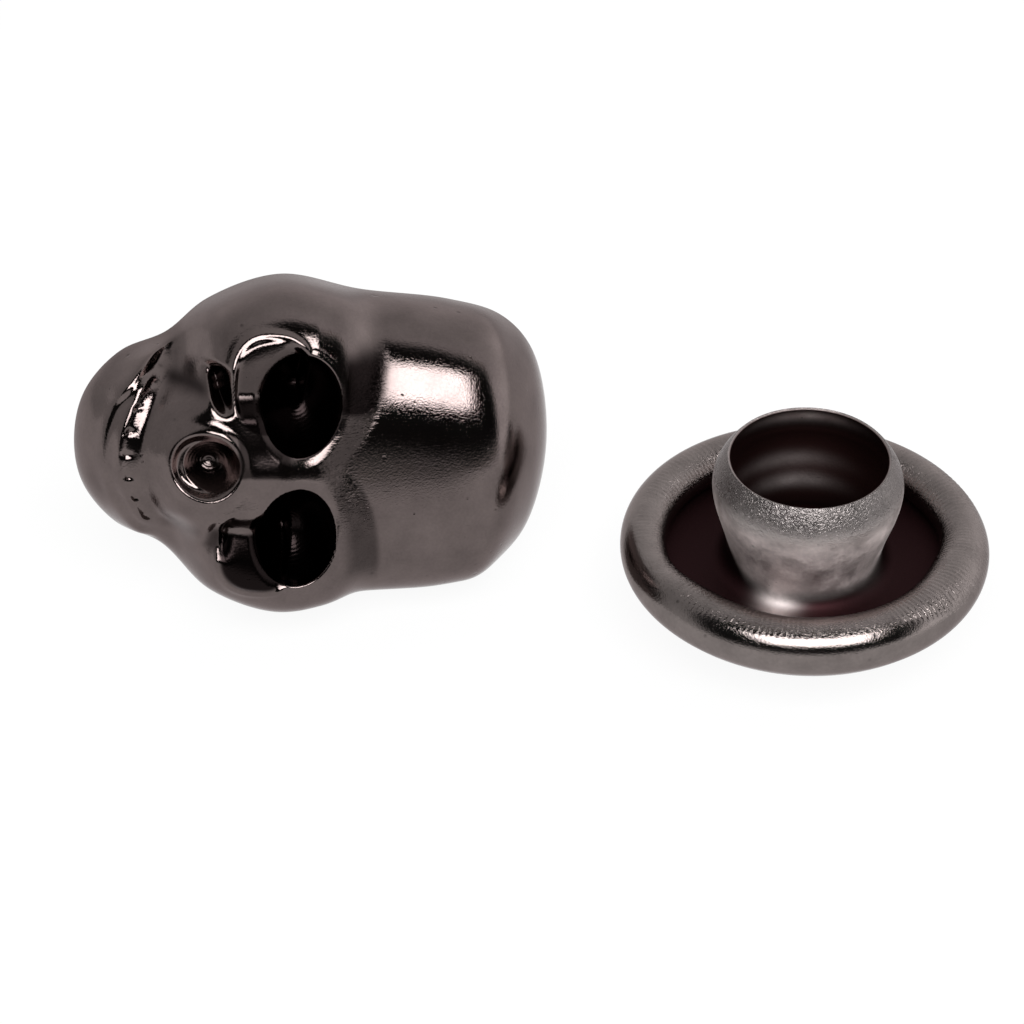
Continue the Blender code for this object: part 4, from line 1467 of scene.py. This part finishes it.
@dataclass
class Studio:
    """The pale floor, the white surroundings, the softbox and the camera."""

    focus: Vector
    distance: float = 100.0
    elevation: float = 39.0
    lens: float = 138.2
    sensor: float = 36.0
    floor_side: float = 1600.0
    floor_tone: float = 0.85
    floor_seen: float = 0.93
    floor_reflected: float = 0.86
    softbox_low: float = 40.0
    softbox_high: float = 71.0
    softbox_width: float = 50.0
    softbox_distance: float = 260.0
    softbox_radiance: float = 9.0
    softbox_turn: float = 7.0
    dark: float = 0.02
    backdrop_tilt: float = 36.5
    backdrop_reach: float = 0.48
    backdrop_blur: float = 0.05
    backdrop_tilt_right: float = 0.45
    backdrop_fade: float = 0.30
    backdrop_fades: Span = (0.15, 0.75)
    glow_top: float = 0.24
    glow_tone: float = 0.9

    def build(self) -> None:
        """Set the whole studio."""
        self.floor()
        self.surroundings()
        self.softbox()
        self.camera()
        bpy.context.scene.view_settings.view_transform = "Standard"

    def floor(self) -> None:
        """A level pale floor that reads as white and keeps a soft shadow."""
        half = self.floor_side * MM / 2.0
        corners = [(-half, -half, 0.0), (half, -half, 0.0), (half, half, 0.0), (-half, half, 0.0)]
        mesh = bpy.data.meshes.new("studio_floor")
        mesh.from_pydata(corners, [], [(0, 1, 2, 3)])
        obj = bpy.data.objects.new("studio_floor", mesh)
        bpy.context.scene.collection.objects.link(obj)
        material = bpy.data.materials.new("pale_floor")
        material.use_nodes = True
        wiring = Wiring(material.node_tree)
        wiring.tree.nodes.remove(wiring.tree.nodes["Principled BSDF"])
        matt = wiring.add("ShaderNodeBsdfDiffuse")
        matt.inputs["Color"].default_value = (self.floor_tone,) * 3 + (1.0,)
        glow = wiring.add("ShaderNodeEmission")
        path = wiring.add("ShaderNodeLightPath").outputs
        seen = wiring.maths("MAXIMUM", path["Is Camera Ray"], path["Is Glossy Ray"])
        seen = wiring.maths("MAXIMUM", seen, path["Is Transmission Ray"])
        duller = wiring.times(path["Is Glossy Ray"], 1.0 - self.floor_reflected)
        wiring.feed(glow.inputs["Strength"], wiring.minus(1.0, duller))
        seen = wiring.times(seen, self.floor_seen)
        wiring.mix_shaders(seen, matt.outputs[0], glow.outputs[0], "Material Output")
        mesh.materials.append(material)

    def surroundings(self) -> None:
        """A white backdrop behind and beside the object, and a dark room in front of it."""
        world = bpy.data.worlds.new("studio")
        bpy.context.scene.world = world
        world.use_nodes = True
        wiring = Wiring(world.node_tree)
        room = wiring.tree.nodes["Background"]
        way = wiring.add("ShaderNodeTexCoord").outputs["Generated"]
        parts = wiring.add("ShaderNodeSeparateXYZ")
        wiring.feed(parts.inputs[0], way)
        tilt = math.radians(self.backdrop_tilt)
        towards = wiring.vectors("DOT_PRODUCT", way, (0.0, math.cos(tilt), -math.sin(tilt)))
        edge = -self.backdrop_reach
        white = wiring.ramp(towards, edge - self.backdrop_blur, edge + self.backdrop_blur)
        low = wiring.ramp(parts.outputs["Z"], self.glow_top, 0.0)
        white = wiring.maths("MAXIMUM", white, wiring.times(low, self.glow_tone))
        high = wiring.ramp(parts.outputs["Z"], *self.backdrop_fades)
        fade = wiring.minus(1.0, wiring.times(high, self.backdrop_fade))
        side = wiring.times(parts.outputs["X"], self.backdrop_tilt_right)
        white = wiring.times(wiring.times(white, fade), wiring.plus(side, 1.0 - self.dark))
        wiring.feed(room.inputs["Color"], wiring.plus(white, self.dark))
        backdrop = wiring.add("ShaderNodeBackground")
        backdrop.inputs["Color"].default_value = (1.0, 1.0, 1.0, 1.0)
        seen = wiring.add("ShaderNodeLightPath").outputs["Is Camera Ray"]
        wiring.mix_shaders(seen, room.outputs[0], backdrop.outputs[0], "World Output")

    def direction(self, turn: float, rise: float) -> Vector:
        """The way to a place at a turn from the front towards +X and a rise, both in degrees."""
        turn, rise = math.radians(turn), math.radians(rise)
        flat = math.cos(rise)
        return Vector((math.sin(turn) * flat, -math.cos(turn) * flat, math.sin(rise)))

    def softbox(self) -> None:
        """The large soft lamp above and in front."""
        back = self.direction(self.softbox_turn, (self.softbox_low + self.softbox_high) / 2.0)
        lamp = bpy.data.lights.new("softbox", "AREA")
        lamp.shape = "RECTANGLE"
        spread = math.radians((self.softbox_high - self.softbox_low) / 2.0)
        lamp.size = 2.0 * self.softbox_distance * MM * math.tan(math.radians(self.softbox_width) / 2.0)
        lamp.size_y = 2.0 * self.softbox_distance * MM * math.tan(spread)
        lamp.energy = self.softbox_radiance * math.pi * lamp.size * lamp.size_y
        obj = bpy.data.objects.new("softbox", lamp)
        bpy.context.scene.collection.objects.link(obj)
        obj.location = back * self.softbox_distance * MM
        obj.rotation_euler = back.to_track_quat("Z", "Y").to_euler()
        obj.visible_camera = False

    def camera(self) -> None:
        """The camera at the photograph's angle."""
        back = self.direction(0.0, self.elevation)
        data = bpy.data.cameras.new("photo_camera")
        data.lens = self.lens
        data.sensor_width = self.sensor
        data.clip_start = 1.0 * MM
        data.clip_end = 5000.0 * MM
        obj = bpy.data.objects.new("photo_camera", data)
        bpy.context.scene.collection.objects.link(obj)
        obj.location = self.focus + back * self.distance * MM
        obj.rotation_euler = back.to_track_quat("Z", "Y").to_euler()
        bpy.context.scene.camera = obj


NICKEL = (0.140, 0.113, 0.109)
# The colour of the painted shade on the cap's pieces.
PAINTED_SHADE_COLOUR = (0.020, 0.008, 0.009)

CAST_SKULL = Plating(
    name="cast_skull_black_nickel",
    colour=NICKEL,
    roughness=0.055,
    mottle=0.95,
    patch_size=0.9,
    fine_size=0.07,
    grain_size=0.045,
    grain_height=0.0038,
    pit_depth=0.007,
    scratch_depth=0.0018,
    # The brushed band is rougher and grainier, and its tone darkens the brow crease as painted shade.
    band=RoughBand("brushed_and_shaded", roughness=0.15, height=0.016, size=0.08, tone=-0.55, stretch=0.25),
    # The skull's painted shade, nearly black.
    painted_shades=(PaintedShade("painted_shade", (0.011, 0.008, 0.008), roughness=0.20),),
)
DRAWN_POST = Plating(
    name="drawn_post_black_nickel",
    colour=NICKEL,
    roughness=0.18,
    mottle=0.35,
    patch_size=0.8,
    grain_size=0.06,
    grain_height=0.0012,
    pit_depth=0.002,
    scratch_depth=0.0012,
)
CURLED_SHELL = Plating(
    name="curled_shell_black_nickel",
    colour=(0.200, 0.172, 0.165),
    roughness=0.12,
    mottle=0.90,
    patch_size=0.7,
    grain_size=0.045,
    grain_height=0.005,
    pit_depth=0.003,
    scratch_depth=0.0015,
    band=RoughBand("crimp_band", roughness=0.12, height=0.014, size=0.075),
    painted_shades=(PaintedShade("painted_shade", PAINTED_SHADE_COLOUR, roughness=0.15),),
)
DRAWN_COLLAR = Plating(
    name="drawn_collar_nickel",
    colour=(0.90, 0.81, 0.79),
    roughness=0.60,
    mottle=0.80,
    patch_size=0.5,
    grain_size=0.06,
    grain_height=0.004,
    pit_depth=0.002,
    scratch_depth=0.001,
    # The mouth band is rougher and grainier, and its tone darkens it as painted shade.
    band=RoughBand("mouth_band", roughness=0.24, height=0.030, size=0.08, tone=-0.80),
    painted_shades=(
        PaintedShade("painted_shade", PAINTED_SHADE_COLOUR, roughness=0.52),
        # Painted shade in the bore.
        PaintedShade("bore", (0.045, 0.019, 0.018), roughness=0.50),
    ),
)


def report(pieces: list[bpy.types.Object]) -> None:
    """Log each piece with its count of triangles."""
    for piece in pieces:
        triangles = sum(len(face.vertices) - 2 for face in piece.data.polygons)
        LOG.info("%s: %d triangles", piece.name, triangles)


def main() -> None:
    logging.basicConfig(level=logging.INFO, format="%(name)s %(message)s")
    effects = Effects()
    skull = SkullHalf(CAST_SKULL, DRAWN_POST)
    report(skull.build(effects))
    cap = CapHalf(CURLED_SHELL, DRAWN_COLLAR)
    report(cap.build(effects, RimCrimps(folds=190, depth=0.010, seed=3.0)))
    Studio(focus=cap.axis() + Vector((-7.14, 3.6, 0.0)) * MM).build()


if __name__ == "__main__":
    main()
